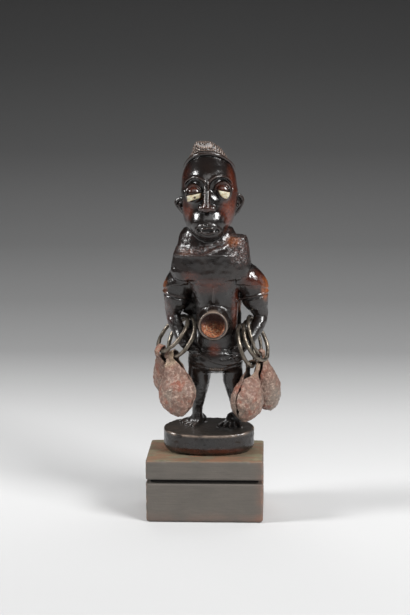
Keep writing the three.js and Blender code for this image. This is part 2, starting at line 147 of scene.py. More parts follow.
# %% [markdown]
# ## Small curves that everything uses
#
# Carving is full of soft steps, scored lines and uneven surfaces. Three formulas give all of them: a step
# that eases in and out, a ridge with a bell-shaped section, and a ripple made of many waves in random
# directions.

# %% Step, ridge and ripple
def step(t):
    """0 below 0, 1 above 1, and 3t^2 - 2t^3 between."""
    t = np.clip(t, 0, 1)
    return t * t * (3 - 2 * t)


def between(value, low, high, soft):
    """1 from low to high, easing to 0 over a soft margin inside each limit."""
    return step((value - low) / soft) * step((high - value) / soft)


def ridge(offset, width):
    """The section of a line: e to the power of minus (offset / width) squared."""
    return np.exp(-((offset / width) ** 2))


def ripple(points, size, seed, waves=16):
    """A smooth uneven height, about -1 to 1: the sum of waves some `size` long in random directions."""
    rng = np.random.default_rng(seed)
    ways = rng.normal(size=(waves, 3))
    ways /= np.linalg.norm(ways, axis=1, keepdims=True)
    rates = 2 * math.pi / size * rng.uniform(0.7, 1.4, (waves, 1))
    phases = rng.uniform(0, 2 * math.pi, waves)
    return np.sin(points @ (ways * rates).T + phases).sum(1) / math.sqrt(waves / 2) / 1.6


def spot(points, centre, half_sizes):
    """1 at a place, easing to 0 over an egg round it with the given half sizes."""
    away = np.linalg.norm((points - np.array(centre)) / np.array(half_sizes), axis=1)
    return step(1.5 - 1.2 * away)


# %% [markdown]
# ## The carving block
#
# A carved figure is one skin with soft hollows, sharp cuts, windows under the arms and a cup in the
# belly, which a grid with two parameters can't follow. So it is made the way a carver makes it, out of a
# block. The block is a fine lattice, and each of its points holds how far it is from the skin, below zero
# inside the wood. Adding a form takes the smaller of two distances, cutting takes the larger, and
# rounding where they meet gives the carver's hollow. A scored line only adds to the distance along the
# line, so it follows the skin.

# %% Lattice, adding, cutting and scoring
STEP = 0.45
FAR = 9.0
BLOCK_LOW, BLOCK_HIGH = (-30.0, -26.0, 39.0), (43.5, 24.5, 241.5)
TICKS = [np.arange(low, high, STEP, dtype=np.float32) for low, high in zip(BLOCK_LOW, BLOCK_HIGH)]
block = np.full([len(t) for t in TICKS], FAR, np.float32)


def window(low, high, margin):
    """The slices of the block between two corners, and its x, y and z there, shaped to work as a lattice."""
    cuts = tuple(
        slice(*np.searchsorted(ticks, [a - margin, b + margin])) for ticks, a, b in zip(TICKS, low, high)
    )
    x, y, z = (ticks[c] for ticks, c in zip(TICKS, cuts))
    return cuts, (x[:, None, None], y[None, :, None], z[None, None, :])


def blended(a, b, reach):
    """The smaller of two distances less reach/4 times h squared, where h is 1 - |a - b| / reach or 0."""
    h = np.maximum(0, 1 - np.abs(a - b) / reach)
    return np.minimum(a, b) - h * h * (reach / 4)


def add(form, reach=0.8):
    shape, low, high = form
    cuts, lattice = window(low, high, 4)
    block[cuts] = blended(block[cuts], shape(*lattice), reach)


def cut(form, reach=0.6):
    shape, low, high = form
    cuts, lattice = window(low, high, 2)
    block[cuts] = -blended(-block[cuts], shape(*lattice), reach)


def lift_skin(low, high, height):
    """Moves the skin out by height(x, y, z) between two corners, or in where the height is below zero."""
    cuts, lattice = window(low, high, 0)
    block[cuts] -= height(*lattice).astype(np.float32)


print("carving block:", " x ".join(map(str, block.shape)), "points")

# %% [markdown]
# ## Forms a carver starts from
#
# Three forms are enough: an upright body that swells and narrows, a strand that runs along a bent path
# such as an arm, and an egg. Each is a formula for the distance to its skin.

# %% Upright body, strand and egg
FINE = 0.2


def eased_columns(rows, soften):
    """Columns of a table read every FINE mm of its first column, each averaged over `soften` mm."""
    heights = np.arange(rows[0, 0], rows[-1, 0] + FINE / 2, FINE)
    kernel = np.hanning(2 * max(int(soften / FINE / 2), 1) + 1)[1:-1]
    half = len(kernel) // 2
    read = [np.pad(np.interp(heights, rows[:, 0], column), half, mode="edge") for column in rows.T[1:]]
    return heights, [np.convolve(column, kernel / kernel.sum(), "valid") for column in read]


def upright(stations, soften=2.5, lift=lambda y: 0 * y):
    """Distance to a stack of superellipses [z, x, y, half x, half y, power]. With g = (|u|^p + |v|^p)^(1/p)
    on the scaled offsets u and v, it is (g - 1) over the slope of g, times the cosine of the wall's lean."""
    rows = np.array(stations, float)
    heights, columns = eased_columns(rows, soften)
    columns.append(np.gradient(np.sqrt(columns[2] * columns[3]), heights))

    def shape(x, y, z):
        h = z - lift(y)
        cx, cy, half_x, half_y, power, lean = (
            np.interp(h, heights, column).astype(np.float32) for column in columns
        )
        u = np.abs(x - cx) / half_x + 1e-3
        v = np.abs(y - cy) / half_y + 1e-3
        g = (u**power + v**power) ** (1 / power)
        slope = np.hypot(u ** (power - 1) / half_x, v ** (power - 1) / half_y) * g ** (1 - power)
        side = (g - 1) / slope / np.sqrt(1 + lean * lean)
        return np.maximum(side, np.maximum(heights[0] - h, h - heights[-1]))

    reach = rows[:, 3:5].max(0)
    low = (*(rows[:, 1:3] - rows[:, 3:5]).min(0), rows[0, 0] - abs(lift(reach[1])))
    high = (*(rows[:, 1:3] + rows[:, 3:5]).max(0), rows[-1, 0] + abs(lift(reach[1])))
    return shape, low, high


def smooth_path(stations, per_span):
    """Rows along a Catmull-Rom curve through the stations, every column eased alike."""
    rows = np.array(stations, float)
    padded = np.vstack([2 * rows[0] - rows[1], rows, 2 * rows[-1] - rows[-2]])
    t = (np.arange(per_span) / per_span)[:, None]
    spans = [
        b + (c - a) * t / 2 + (2 * a - 5 * b + 4 * c - d) * t**2 / 2 + (3 * b - 3 * c + d - a) * t**3 / 2
        for a, b, c, d in zip(padded, padded[1:], padded[2:], padded[3:])
    ]
    return np.vstack([*spans, rows[-1:]])


def strand(stations, per_span=4, flat=1.0):
    """Distance to a chain of cones along a smooth path of [x, y, z, radius]: the way to the nearest point of
    the nearest piece of the path, less the radius there. flat below 1 squeezes it front to back."""
    path = smooth_path(stations, per_span)

    def shape(x, y, z):
        nearest = np.full((x.size, y.size, z.size), FAR, np.float32)
        for a, b in zip(path, path[1:]):
            low = np.minimum(a[:3] - a[3], b[:3] - b[3]) - 5
            high = np.maximum(a[:3] + a[3], b[:3] + b[3]) + 5
            i, j, k = (
                slice(*np.searchsorted(axis.ravel(), pair)) for axis, pair in zip((x, y, z), zip(low, high))
            )
            px, py, pz = x[i] - a[0], y[:, j] - a[1], z[:, :, k] - a[2]
            dx, dy, dz, widening = b - a
            t = np.clip((px * dx + py * dy + pz * dz) / (dx * dx + dy * dy + dz * dz + 1e-9), 0, 1)
            away = np.sqrt((px - t * dx) ** 2 + ((py - t * dy) / flat) ** 2 + (pz - t * dz) ** 2)
            nearest[i, j, k] = np.minimum(nearest[i, j, k], away - a[3] - widening * t)
        return nearest

    return shape, (path[:, :3] - path[:, 3:]).min(0), (path[:, :3] + path[:, 3:]).max(0)


def egg(centre, half_sizes):
    """Distance to an egg: k(k - 1)/m, where k is the length of the offsets over the half sizes, and m the
    length of the offsets over their squares."""
    centre, half = np.array(centre, float), np.array(half_sizes, float)

    def shape(x, y, z):
        offsets = [axis - c for axis, c in zip((x, y, z), centre)]
        k = np.sqrt(sum((o / h) ** 2 for o, h in zip(offsets, half)))
        m = np.sqrt(sum((o / h**2) ** 2 for o, h in zip(offsets, half)))
        return k * (k - 1) / (m + 1e-6)

    return shape, centre - half, centre + half


def mirrored(stations, middle):
    """Stations [x, y, z, ...] turned over about an upright plane at x = middle."""
    return [[2 * middle - x, *rest] for x, *rest in stations]


# %% [markdown]
# ## Footing and feet
#
# The figure stands on an oval of the same wood, undercut below, crisp at its edge, and rising a little to
# the back. Each foot is five ridges that fan out from the heel, the way a carver cuts it: a wedge first,
# then four grooves.

# %% Oval footing
FOOTING_X, FOOTING_Y, FOOTING_HALF_X, FOOTING_HALF_Y = 2.0, 2.3, 29.0, 17.3
FOOTING_BASE, FOOTING_FRONT, FOOTING_RISE = 40.5, 54.6, 0.075
OVAL_POWER = 2.3


def footing_top(y):
    """Height of the footing's top: a plane that rises to the back."""
    return FOOTING_FRONT + (y - FOOTING_Y + FOOTING_HALF_Y) * FOOTING_RISE


def oval_ring(inset, z):
    return [z, FOOTING_X, FOOTING_Y, FOOTING_HALF_X - inset, FOOTING_HALF_Y - inset, OVAL_POWER]


def carve_footing():
    top = footing_top(0)
    wall = [oval_ring(3.2, FOOTING_BASE), oval_ring(0.7, 43), oval_ring(0, 45.5), oval_ring(0, 52)]
    add(upright(wall, 1.6))
    tilted = [oval_ring(0, 50.5), oval_ring(0, top - 0.9), oval_ring(0.25, top - 0.35), oval_ring(0.9, top)]
    add(upright(tilted, 0.4, lambda y: footing_top(y) - footing_top(0)), 0.4)


carve_footing()

# %% Feet and legs
# Rows of a strand are x, y, z and radius.
LEFT_LEG = [
    [-1.4, 3.2, 100, 8.2], [-3.6, 3.4, 93, 7.5], [-3.6, 4.0, 86, 6.4], [-4.2, 5.2, 76, 4.5],
    [-5.5, 7.0, 67, 3.3], [-5.7, 8.2, 60, 3.5],
]
RIGHT_LEG = [
    [15.0, 3.2, 100, 7.6], [17.2, 3.4, 93, 6.8], [17.5, 4.0, 86, 6.0], [18.6, 5.2, 76, 4.5],
    [19.9, 7.0, 67, 3.3], [20.1, 8.2, 60, 3.5],
]
FEET = [((-3.0, 12.8), (-12.9, 4.6), 13.5), ((17.0, 13.0), (15.6, 0.0), 14.5)]
TOES = 5


def carve_foot(heel, toes, spread):
    """Five tapering ridges from the heel, each to its own toe, with a round heel and an instep over them."""
    heel, toes = np.array(heel), np.array(toes)
    forward = toes - heel
    side = np.array([-forward[1], forward[0]]) / np.linalg.norm(forward)
    at = lambda t, offset: heel + forward * t + side * offset
    on_top = lambda p, rise, radius: [*p, footing_top(p[1]) + rise, radius]
    instep = [on_top(at(-0.05, 0), 1.6, 2.6), on_top(at(0.25, 0), 3.4, 3.4), on_top(at(0.6, 0), 1.6, 2.2)]
    add(strand(instep), 2.0)
    for share in np.linspace(-0.5, 0.5, TOES):
        length = 1 - 0.3 * share**2
        add(strand([
            on_top(at(0.15, share * 3.4), 2.0, 2.0),
            on_top(at(0.55, share * spread * 0.62), 1.5, 1.45),
            on_top(at(0.82, share * spread * 0.88), 1.1, 1.15),
            on_top(at(length, share * spread), 0.7, 1.05),
        ]), 0.4)


for heel, toes, spread in FEET:
    carve_foot(heel, toes, spread)
add(strand(LEFT_LEG), 2.0)
add(strand(RIGHT_LEG), 2.0)

# %% [markdown]
# ## Trunk, yoke and arms
#
# The trunk flares over the hips in a wrapped cloth. Above the chest lies the yoke, a thick collar that
# climbs to a square block on the right shoulder. The arms leave the shoulders, bend, and bring the hands
# to the hips.

# %% Trunk, yoke and shoulder block
# Rows of an upright body are z, x, y, half x, half y and power.
TRUNK = [
    [92.5, 7.2, 3, 9, 6.5, 2], [94.5, 6.9, 3, 14, 10, 2.1], [97, 6.6, 3, 17, 12, 2.2],
    [101, 6.6, 3, 17.6, 12.6, 2.2], [104.5, 6.7, 3, 16.6, 12.2, 2.2], [109, 7, 3, 14, 11.6, 2.2],
    [118, 7.5, 3, 12.6, 11.6, 2.2], [125, 7.8, 3, 12.8, 12, 2.4], [134, 7.8, 3, 13.2, 11.2, 2.5],
    [144, 7.4, 3, 13.8, 10.8, 2.6], [149.5, 6.8, 3, 18, 12, 2.4], [154, 6, 3, 22, 12.6, 2.3],
    [160, 5, 3, 21, 12, 2.2],
]
YOKE = [
    [152, 4, 2, 19, 12, 2.3], [154.5, 3.6, 2, 23.6, 15, 2.4], [158, 3.4, 2, 25, 16, 2.4],
    [164, 3.8, 2, 24.4, 16.4, 2.3], [169.5, 3.8, 2, 23.2, 16.4, 2.2], [171.8, 3.4, 2, 21.8, 14.8, 2.1],
    [175, 3, 2.5, 20.2, 12.8, 2], [181, 2.2, 3, 17.8, 11.4, 2], [185, 2.4, 3.3, 15.4, 10.4, 2],
]
SHOULDER_BLOCK = [
    [156, 21, 2, 7.6, 11, 2.6], [160, 20.6, 2, 8.8, 12.2, 2.8], [170, 19.8, 2, 8.6, 11.6, 2.8],
    [177, 19.6, 2.5, 7.8, 10, 2.8], [179.8, 20.2, 2.5, 6.2, 8.2, 2.4],
]
add(upright(TRUNK), 2.0)
add(upright(YOKE, 1.6), 1.6)
add(upright(SHOULDER_BLOCK, 1.6), 1.2)

# %% Arms and hands
ARM = [
    [17, 3, 155.5, 9], [26.6, 3.6, 152.8, 9.4], [30.9, 4.6, 146, 8.8], [31.4, 5.4, 139.5, 8.3],
    [33.9, 6.8, 133.5, 5.8], [35.3, 7.6, 128.4, 4.6], [34.2, 5, 123.6, 4.5], [31.2, 1.4, 118.6, 4.3],
    [26.8, -3.6, 112.6, 3.7],
]
FINGERS = [[27.6, -2.8, 113.4, 2.2], [23.6, -5.4, 110.2, 1.7], [18.6, -7.4, 107.2, 1.15]]
MIDLINE = 6.8
CLOSER = [0, 0, 0, 0, 0.6, 1.2, 1.6, 1.4, 0.6]
CLOSER_HAND = [0.4, 0, 0]


def carve_arm(turn):
    """Upper arm, forearm and a hand of four fingers, each a thin strand just below the one before it."""
    add(strand(turn(ARM)), 1.4)
    for n in range(4):
        drop = (1.5 - n) * 1.9
        finger = [[x, y, z + drop * (0.55 + 0.1 * i), r] for i, (x, y, z, r) in enumerate(FINGERS)]
        add(strand(turn(finger)), 0.5)


def left_side(stations):
    """Mirrored stations; the forearm, which has as many stations as CLOSER, is held closer to the trunk."""
    shifts = CLOSER if len(stations) == len(CLOSER) else CLOSER_HAND
    return [[x + shift, *rest] for (x, *rest), shift in zip(mirrored(stations, MIDLINE), shifts)]


carve_arm(lambda stations: stations)
carve_arm(left_side)

# %% Wood left standing behind the arms and at the hips, and the chest under the yoke
LEFT_SHEET = [
    [104, -4, 10, 4, 3, 2.4], [118, -6, 12.4, 5.8, 2.1, 2.6], [127.5, -6, 12.8, 5.8, 2, 2.6],
    [129, -7.4, 12.4, 7.8, 2.2, 2.6], [132, -7.8, 12, 8.6, 2.6, 2.6], [134, -7.6, 11.6, 8, 3, 2.6],
    [137, -6.8, 11, 6.8, 3.4, 2.6], [140, -9.4, 9, 7.6, 5, 2.6], [152, -11, 6, 8, 6, 2.6],
]
RIGHT_SHEET = [
    [104, 17, 10, 4, 3, 2.4], [118, 18, 12.6, 5, 2, 2.6], [128, 18, 12.6, 5, 2.1, 2.6],
    [131, 18, 11.8, 4.6, 2.8, 2.6], [138, 18.6, 10, 4.6, 4.2, 2.6], [141.5, 21.5, 8.4, 6, 5, 2.6],
    [152, 23, 6, 6, 6, 2.6],
]
LEFT_HIP = [
    [99, -2, 3.5, 7, 8, 2.2], [108, -4, 3.4, 7, 7.2, 2.2], [113, -7, 3.2, 7.2, 6.4, 2.2],
    [117.5, -9.6, 3, 7, 5.2, 2.2], [119.8, -10, 3, 5, 3.4, 2.2],
]
RIGHT_HIP = [
    [99, 16, 3.5, 7, 8, 2.2], [108, 18.4, 3.2, 6.8, 6.8, 2.2], [113, 21, 2.8, 7, 5.8, 2.2],
    [117, 23, 1.6, 6.6, 4.2, 2.2], [119.8, 23.4, 0.8, 4.6, 2.6, 2.2],
]
CHEST = ((4.6, -3.0, 151), (12, 9.6, 15))
for stations in (LEFT_SHEET, RIGHT_SHEET, LEFT_HIP, RIGHT_HIP):
    add(upright(stations), 1.6)
add(egg(*CHEST), 5.0)

# %% [markdown]
# ## Head
#
# The head is a tall egg. The eyes lie in two round hollows under arched brows, the lids bulge in them,
# the nose is a thin straight ridge with round wings, and the muzzle pushes the lips forward. The ears are
# C-shaped rims round a thin shell.

# %% Head, muzzle, nose and ears
HEAD = [
    [177.8, 3.5, -5.4, 4.4, 4.8, 2], [180.2, 3.3, -4.4, 8, 9.6, 2], [184, 2.9, -1.8, 11.8, 14.2, 2],
    [187, 2.9, -0.4, 13.8, 16, 2], [190, 3, 0.5, 15.3, 17.5, 2], [194.5, 3.3, 1.2, 16.6, 18.3, 2],
    [199, 3.5, 1.8, 17.2, 18.8, 2], [208.5, 3.5, 2.4, 17.8, 19.4, 2], [218, 3.2, 3, 15.9, 18, 2],
    [223.5, 3.2, 3.4, 14.2, 16, 2], [228.5, 2.7, 3.8, 11.8, 13, 2.1], [232, 2.7, 4, 9.6, 10.5, 2.2],
    [235.2, 1.6, 4.2, 7.8, 8.8, 2.4], [237.2, 0.3, 4.3, 5.6, 6.4, 2.6], [238.2, 0.2, 4.4, 4, 4.6, 2.6],
]
EYES = {
    "left": dict(
        x=-5.0, z=206.4, turn=-14, hollow=(-4.2, 210.2), ball=(-5.2, 208.2),
        shape=[(-4.5, 0.7), (-3.9, -3.2), (4.2, -0.4), (4.5, 2.6)],
    ),
    "right": dict(
        x=13.2, z=208.8, turn=14, hollow=(10.9, 210.8), ball=(12.3, 209.6),
        shape=[(-3.8, 1.9), (-3, -0.6), (-1.5, -2.6), (1.2, -3.8), (3.1, -2.1), (3.6, 0.5)],
    ),
}
FOREHEAD = ((3.3, 1.6, 215.5), (16, 18.6, 13.5))
NOSE = [[3.0, -13.2, 218.5, 1.2], [2.8, -16.2, 212, 1.7], [2.7, -18, 206, 2.0], [2.6, -20.2, 200, 2.8]]
NOSE_WINGS, WING_HALF = [(-0.2, -18, 199.6), (6.0, -18, 199.6)], (2.6, 2.8, 2.4)
MUZZLE, LIP_BASE = ((3.0, -12.8, 190.2), (9.6, 6.9, 6.4)), ((3.3, -13.2, 185.6), (8.4, 6.0, 4.8))
HOLLOW_RADIUS, HOLLOW_DEPTH = 7.7, 2.3
BALL_Y, BALL_HALF = -11.3, (6.0, 5.6, 6.3)
EARS = [(-1, -13.6, 198.5, 5.0), (1, 20.1, 199.3, 6.7)]


def carve_ear(side, x, z, half_height):
    """A rim that swells out near its top and tapers down to the jaw, and a shell inside it."""
    share = (np.arange(13) / 12) ** 1.4
    out = np.sin(math.pi * share**0.62)
    rim = [
        [x + side * (5.1 * o - 1.2), 3.2 + 1.8 * o, z + half_height * (1 - 2 * t), 1.25 - 0.25 * t]
        for o, t in zip(out, share)
    ]
    add(egg((x + side * 0.6, 5.4, z), (2.7, 1.3, half_height * 0.9)), 0.8)
    add(strand(rim), 0.4)
    fold = [[x + side * 0.4, 2.6, z + 3.2, 0.8], [x + side * 1.8, 3.0, z + 0.6, 0.9], [x, 2.4, z - 2.6, 0.7]]
    add(strand(fold), 0.4)


def eye_hollow(eye):
    """A round hollow that follows the face: steep under the brow, and easing out over the cheek."""
    cx, cz = eye["hollow"]

    def height(x, y, z):
        away = np.sqrt((x - cx) ** 2 + (z - cz) ** 2)
        below = step((cz + 1 - z) / 5)
        return -HOLLOW_DEPTH * step((HOLLOW_RADIUS - away) / (1.1 + 3.4 * below)) * step((-6 - y) / 3)

    return height


def carve_head():
    add(upright(HEAD), 1.0)
    add(egg(*FOREHEAD), 3.0)
    for eye in EYES.values():
        lift_skin((-15, -25, 198), (22, -4, 222), eye_hollow(eye))
        add(egg((eye["ball"][0], BALL_Y, eye["ball"][1]), BALL_HALF), 0.5)
    add(strand(NOSE), 1.0)
    for wing in NOSE_WINGS:
        add(egg(wing, WING_HALF), 0.6)
    add(egg(*MUZZLE), 4.0)
    add(egg(*LIP_BASE), 2.0)
    for ear in EARS:
        carve_ear(*ear)


carve_head()

# %% [markdown]
# ## Lips, lids, brows and hair: the knife work
#
# The face is finished with a knife. Lids and brows are arcs, so each is a scored or raised line at a
# fixed distance from a point. The hair is a cap behind a sloping plane: a raised band between two cuts,
# and behind it a crown hatched both ways.

# %% Face lines
FRONT_LOW, FRONT_HIGH = (-15, -25, 172), (22, -8, 222)


def oval_line(across, up, radius, width, squash=1.0):
    """A line along an oval seen from the front: the ridge formula on the distance to it."""
    return ridge(np.sqrt(across**2 + (up / squash) ** 2) - radius, width)


def face_lines(x, y, z):
    """Height of all raised and scored lines of the face, in mm."""
    total = 0 * (x + z)
    for eye in EYES.values():
        (cx, cz), (bx, bz) = eye["hollow"], eye["ball"]
        upper = step((z - bz + 1.5) / 2)
        brow = 0.7 * oval_line(x - cx, z - cz, HOLLOW_RADIUS + 0.5, 0.8) * step((z - cz - 0.5) / 3)
        upper_lid = oval_line(x - bx, z - bz, 5.0, 0.5, 1.12) - oval_line(x - bx, z - bz, 3.9, 0.45, 1.12)
        lower_lid = oval_line(x - bx, z - bz, 5.2, 0.5, 1.05)
        total = total + brow + 0.6 * upper_lid * upper + 0.4 * lower_lid * (1 - upper)
    along = between(z, 201, 216.5, 2.0)
    gap = np.abs(x - NOSE_LINE)
    return total + (0.4 * ridge(gap - 1.05, 0.4) - 1.3 * ridge(gap, 0.5)) * along


NOSE_LINE = 2.7
LIPS_X, LIPS_Z, LIPS_HALF_X, LIPS_HALF_Z = 3.3, 185.8, 7.7, 4.2


def mouth(x, y, z):
    """Lips: two rolls that meet in a slit, the upper one with a dip, and fine lines in step with them."""
    u, v = (x - LIPS_X) / LIPS_HALF_X, (z - LIPS_Z) / LIPS_HALF_Z
    dip = 0.26 * ridge(x - 2.0, 1.1)
    corners = 0.12 * u**2
    away = np.sqrt(u**2 + (v * np.where(v > 0, 1 / (1 - dip), 1) + corners) ** 2)
    rolls = 0.5 * between(away, 0.2, 1.0, 0.25)
    rim = 0.7 * ridge(away - 0.98, 0.12) - 0.5 * ridge(away - 0.74, 0.1) + 0.5 * ridge(away - 0.5, 0.12)
    slit = 0.9 * ridge(v + corners - 0.12, 0.13) * step((0.97 - np.abs(u)) / 0.15)
    outside = 0.3 * ridge(away - 1.32, 0.08) * step(-v / 0.3)
    notch = 0.8 * ridge(x - 2.0, 0.7) * between(z, LIPS_Z + 2.2, LIPS_Z + 4.6, 0.8)
    mark = 0.5 * ridge(x - 2.9, 0.4) * between(z, LIPS_Z - 6.2, LIPS_Z - 4.0, 0.6)
    return rolls + rim - slit + outside - notch - mark


lift_skin(FRONT_LOW, FRONT_HIGH, lambda x, y, z: face_lines(x, y, z) * step((-8 - y) / 4))
lift_skin((-9, -26, 177), (16, -12, 194), lambda x, y, z: mouth(x, y, z) * step((-14 - y) / 2))

# %% Hair: band and hatched crown
HAIR_Y, HAIR_Z, HAIR_SLOPE = -6.5, 230.5, 0.77
BAND = 2.2
HATCH = 1.55


def behind_hairline(y, z):
    """How far a point lies behind the sloping plane that bounds the hair."""
    tilt = math.atan(HAIR_SLOPE)
    return (y - HAIR_Y) * math.sin(tilt) + (z - HAIR_Z) * math.cos(tilt)


def crossed_grooves(x, y, z):
    """-1 in the grooves to 1 on the knobs between them: the product of two waves that cross on the slope."""
    run = z * 0.8 - y * 0.35
    return np.cos(2 * math.pi * (x + run) / HATCH / 1.4) * np.cos(2 * math.pi * (x - run) / HATCH / 1.4)


def hair(x, y, z):
    """Raised band from 0 to BAND behind the plane, a cut at each side, and a crown with crossed grooves."""
    back = behind_hairline(y, z)
    band = 1.25 * np.sqrt(np.clip(1 - ((back - BAND / 2) / (BAND / 2 + 0.35)) ** 2, 0, 1))
    cuts = 1.2 * ridge(back + 0.6, 0.45) + 1.2 * ridge(back - BAND - 0.6, 0.45)
    crown = step((back - BAND - 0.9) / 0.6) * (0.6 * crossed_grooves(x, y, z) + 0.05)
    return (band + crown - cuts) * step((z - 196) / 6)


lift_skin((-20, -20, 190), (28, 24, 241), hair)

# %% [markdown]
# ## Belly cup, chest lines and the wrapped cloth
#
# The cup once held a packed charge. It stands out of the belly with a thin lip and a funnel inside. Over
# it a fine raised line runs down the chest. The cloth's front flap hangs in a point, so it is a raised
# step along a bent line.

# %% Belly cup
CUP_X, CUP_Z, CUP_FRONT, CUP_ROOT = 6.1, 126.2, -18.0, -7.0
CUP_RIM, CUP_LIP, CUP_DEPTH = 9.3, 1.5, 9.6


def turned_forward(profile):
    """Distance to a form turned about the cup's axis, from corners [distance back, radius] of its profile."""
    back, radius = np.array(profile, float).T

    def shape(x, y, z):
        away = np.sqrt((x - CUP_X) ** 2 + (z - CUP_Z) ** 2)
        depth = y - CUP_FRONT
        wall = np.interp(depth, back, radius)
        lean = np.interp(depth, (back[1:] + back[:-1]) / 2, np.diff(radius) / np.diff(back))
        side = (away - wall) / np.sqrt(1 + np.minimum(lean**2, 6))
        return np.maximum(side, np.maximum(back[0] - depth, depth - back[-1]))

    widest = radius.max()
    low = (CUP_X - widest, CUP_FRONT + back[0], CUP_Z - widest)
    return shape, low, (CUP_X + widest, CUP_FRONT + back[-1], CUP_Z + widest)


def carve_cup():
    length = CUP_ROOT - CUP_FRONT
    inner = CUP_RIM - CUP_LIP
    wall = [(0, CUP_RIM - 0.5), (0.9, CUP_RIM), (length * 0.6, CUP_RIM + 0.4), (length, CUP_RIM + 1.4)]
    funnel = [(-4, inner), (0.6, inner - 0.2), (4, inner - 1.6), (7.2, inner * 0.42), (CUP_DEPTH, 0.4)]
    add(turned_forward(wall), 3.0)
    cut(turned_forward(funnel), 0.5)


carve_cup()

# %% Chest line, sleeve ledges, yoke ridge and cloth flap
def chest_line(x, y, z):
    """A thin raised line down the chest that ends in a small cut above the cup."""
    line = ridge(x - 6.0, 0.42) * between(z, 138.2, 150, 1.0)
    notch = ridge(np.abs(x - 5.8) - (138.4 - z), 0.45) * between(z, 136.9, 138.6, 0.8)
    return 0.75 * line - 0.3 * notch


def sleeve_ledge(x, y, z):
    """The shoulder cap ends in a step, and below it a small ledge runs round the upper arm."""
    out = np.abs(x - MIDLINE)
    cap = z - 149.6 + 0.012 * np.maximum(out - 16, 0) ** 2
    rise = z - 140.4 - 0.24 * (out - 20)
    cap_edge = 0.7 * step(cap / 0.9) * step((9 - cap) / 6)
    return cap_edge + 0.6 * ridge(rise - 0.6, 0.8) - 0.7 * ridge(rise + 0.6, 0.6)


def yoke_line(x):
    """Height of the yoke's ridge: level at the left, and climbing to the right from about the middle."""
    across, heights = [-18, 0, 3, 6.5, 12.5, 17], [169.8, 170.3, 171.9, 173.6, 175.5, 177]
    return np.interp(x, across, heights).astype(np.float32)


def yoke_ridge(x, y, z):
    """A soft ridge across the yoke's front, with a shallow ledge above it."""
    above = z - yoke_line(x)
    return 0.55 * ridge(above + 0.6, 1.2) - 0.6 * ridge(above - 1.1, 0.9)


def fold(x, z, xs, zs, width):
    """A line drawn across the front through points (x, z)."""
    return ridge(z - np.interp(x, xs, zs).astype(np.float32), width)


FLAP_X, FLAP_Z = [-12, -9.6, -1.8, 5.6, 11.7, 15, 19, 26], [107.6, 107, 104.3, 100.5, 98.8, 98.5, 98.9, 100.5]


def cloth_flap(x, y, z):
    """A raised step along the flap's slanting lower edge, crossed by folds at the waist and at the right."""
    edge = np.interp(x, FLAP_X, FLAP_Z).astype(np.float32)
    flap = 0.7 * step((z - edge) / 0.6) * step((111 - z) / 5)
    waist = 0.5 * fold(x, z, [-9, -3.4, 2.5, 13, 22.5], [107.2, 107.1, 107.7, 107.3, 105.6], 0.45)
    right = 0.6 * fold(x, z, [9, 13.4, 16.8, 22.2], [103, 103.7, 104.7, 105.8], 0.4) * step((x - 9) / 3)
    hem = 0.4 * fold(x, z, [-9, 4, 12, 23], [99.6, 97, 96.5, 99.2], 0.45)
    hem_row = between(z, 94.8, 97.4, 0.6) * between(x, 2.5, 12.5, 1)
    cuts = 0.3 * np.cos(2 * math.pi * (x + 0.5 * z) / 1.3) * hem_row
    return flap - waist - right - hem + cuts


front = lambda y, from_y: step((from_y - y) / 3)
lift_skin((-2, -16, 134), (14, -2, 151), lambda x, y, z: chest_line(x, y, z) * front(y, -2))
lift_skin((-29, -16, 134), (-10, 16, 160), sleeve_ledge)
lift_skin((20, -16, 134), (43, 16, 160), sleeve_ledge)
lift_skin(
    (-25, -19, 158), (17, 0, 182), lambda x, y, z: yoke_ridge(x, y, z) * front(y, 0) * step((16 - x) / 4)
)
lift_skin((-14, -17, 93), (27, 4, 113), lambda x, y, z: cloth_flap(x, y, z) * front(y, 4))

# %% [markdown]
# ## Sockets for the bone plates
#
# Each bone plate sits in a socket of its own outline, a third of a millimetre wider all round.

# %% Eye sockets
PLATE_DEPTH, PLATE_BACK, PLATE_PLAY = 2.2, -15.4, 0.3


def plate_turn(eye):
    return math.cos(math.radians(eye["turn"])), math.sin(math.radians(eye["turn"]))


def turned_in(eye, x, y):
    """Sideways and forward distances from a plate's back, along axes turned with the plate."""
    c, s = plate_turn(eye)
    dx, dy = x - eye["x"], y - PLATE_BACK
    return dx * c + dy * s, dx * s - dy * c


def side_normals(corners):
    """Unit directions square to each side of a polygon and out of it."""
    ways = np.roll(corners, -1, 0) - corners
    return np.stack([ways[:, 1], -ways[:, 0]], 1) / np.linalg.norm(ways, axis=1, keepdims=True)


def socket(eye):
    """Distance to a prism: the largest of the distances to its sides and its floor."""
    corners = np.array(eye["shape"])
    normals = side_normals(corners)

    def shape(x, y, z):
        across, forward = turned_in(eye, x, y)
        up = z - eye["z"]
        sides = [nu * (across - cu) + nv * (up - cv) for (nu, nv), (cu, cv) in zip(normals, corners)]
        return np.maximum(np.maximum.reduce([s + 0 * up for s in sides]) - PLATE_PLAY, -PLATE_PLAY - forward)

    return shape, (eye["x"] - 6, -24, eye["z"] - 5), (eye["x"] + 6, -14, eye["z"] + 5)


for eye in EYES.values():
    cut(socket(eye), 0.15)
print("deepest point in the wood, mm:", round(float(-block.min()), 1))

# %% [markdown]
# ## From the block to a skin
#
# Surface nets turn the lattice into a mesh: each cell that the skin passes through gets one point, at the
# mean of the crossings on its edges, and each lattice edge that crosses the skin gets one face from the
# four cells round it. Each point then moves along the slope of the distance until that is zero, which
# takes the stair-steps out.

# %% Surface nets
def crossing_cells(field):
    """Numbers of the cells with corners both inside and outside, by counting each cell's inside corners."""
    inside = (field < 0).astype(np.int8)
    count = inside[:-1] + inside[1:]
    count = count[:, :-1] + count[:, 1:]
    count = count[:, :, :-1] + count[:, :, 1:]
    return np.argwhere((count > 0) & (count < 8)), count.shape


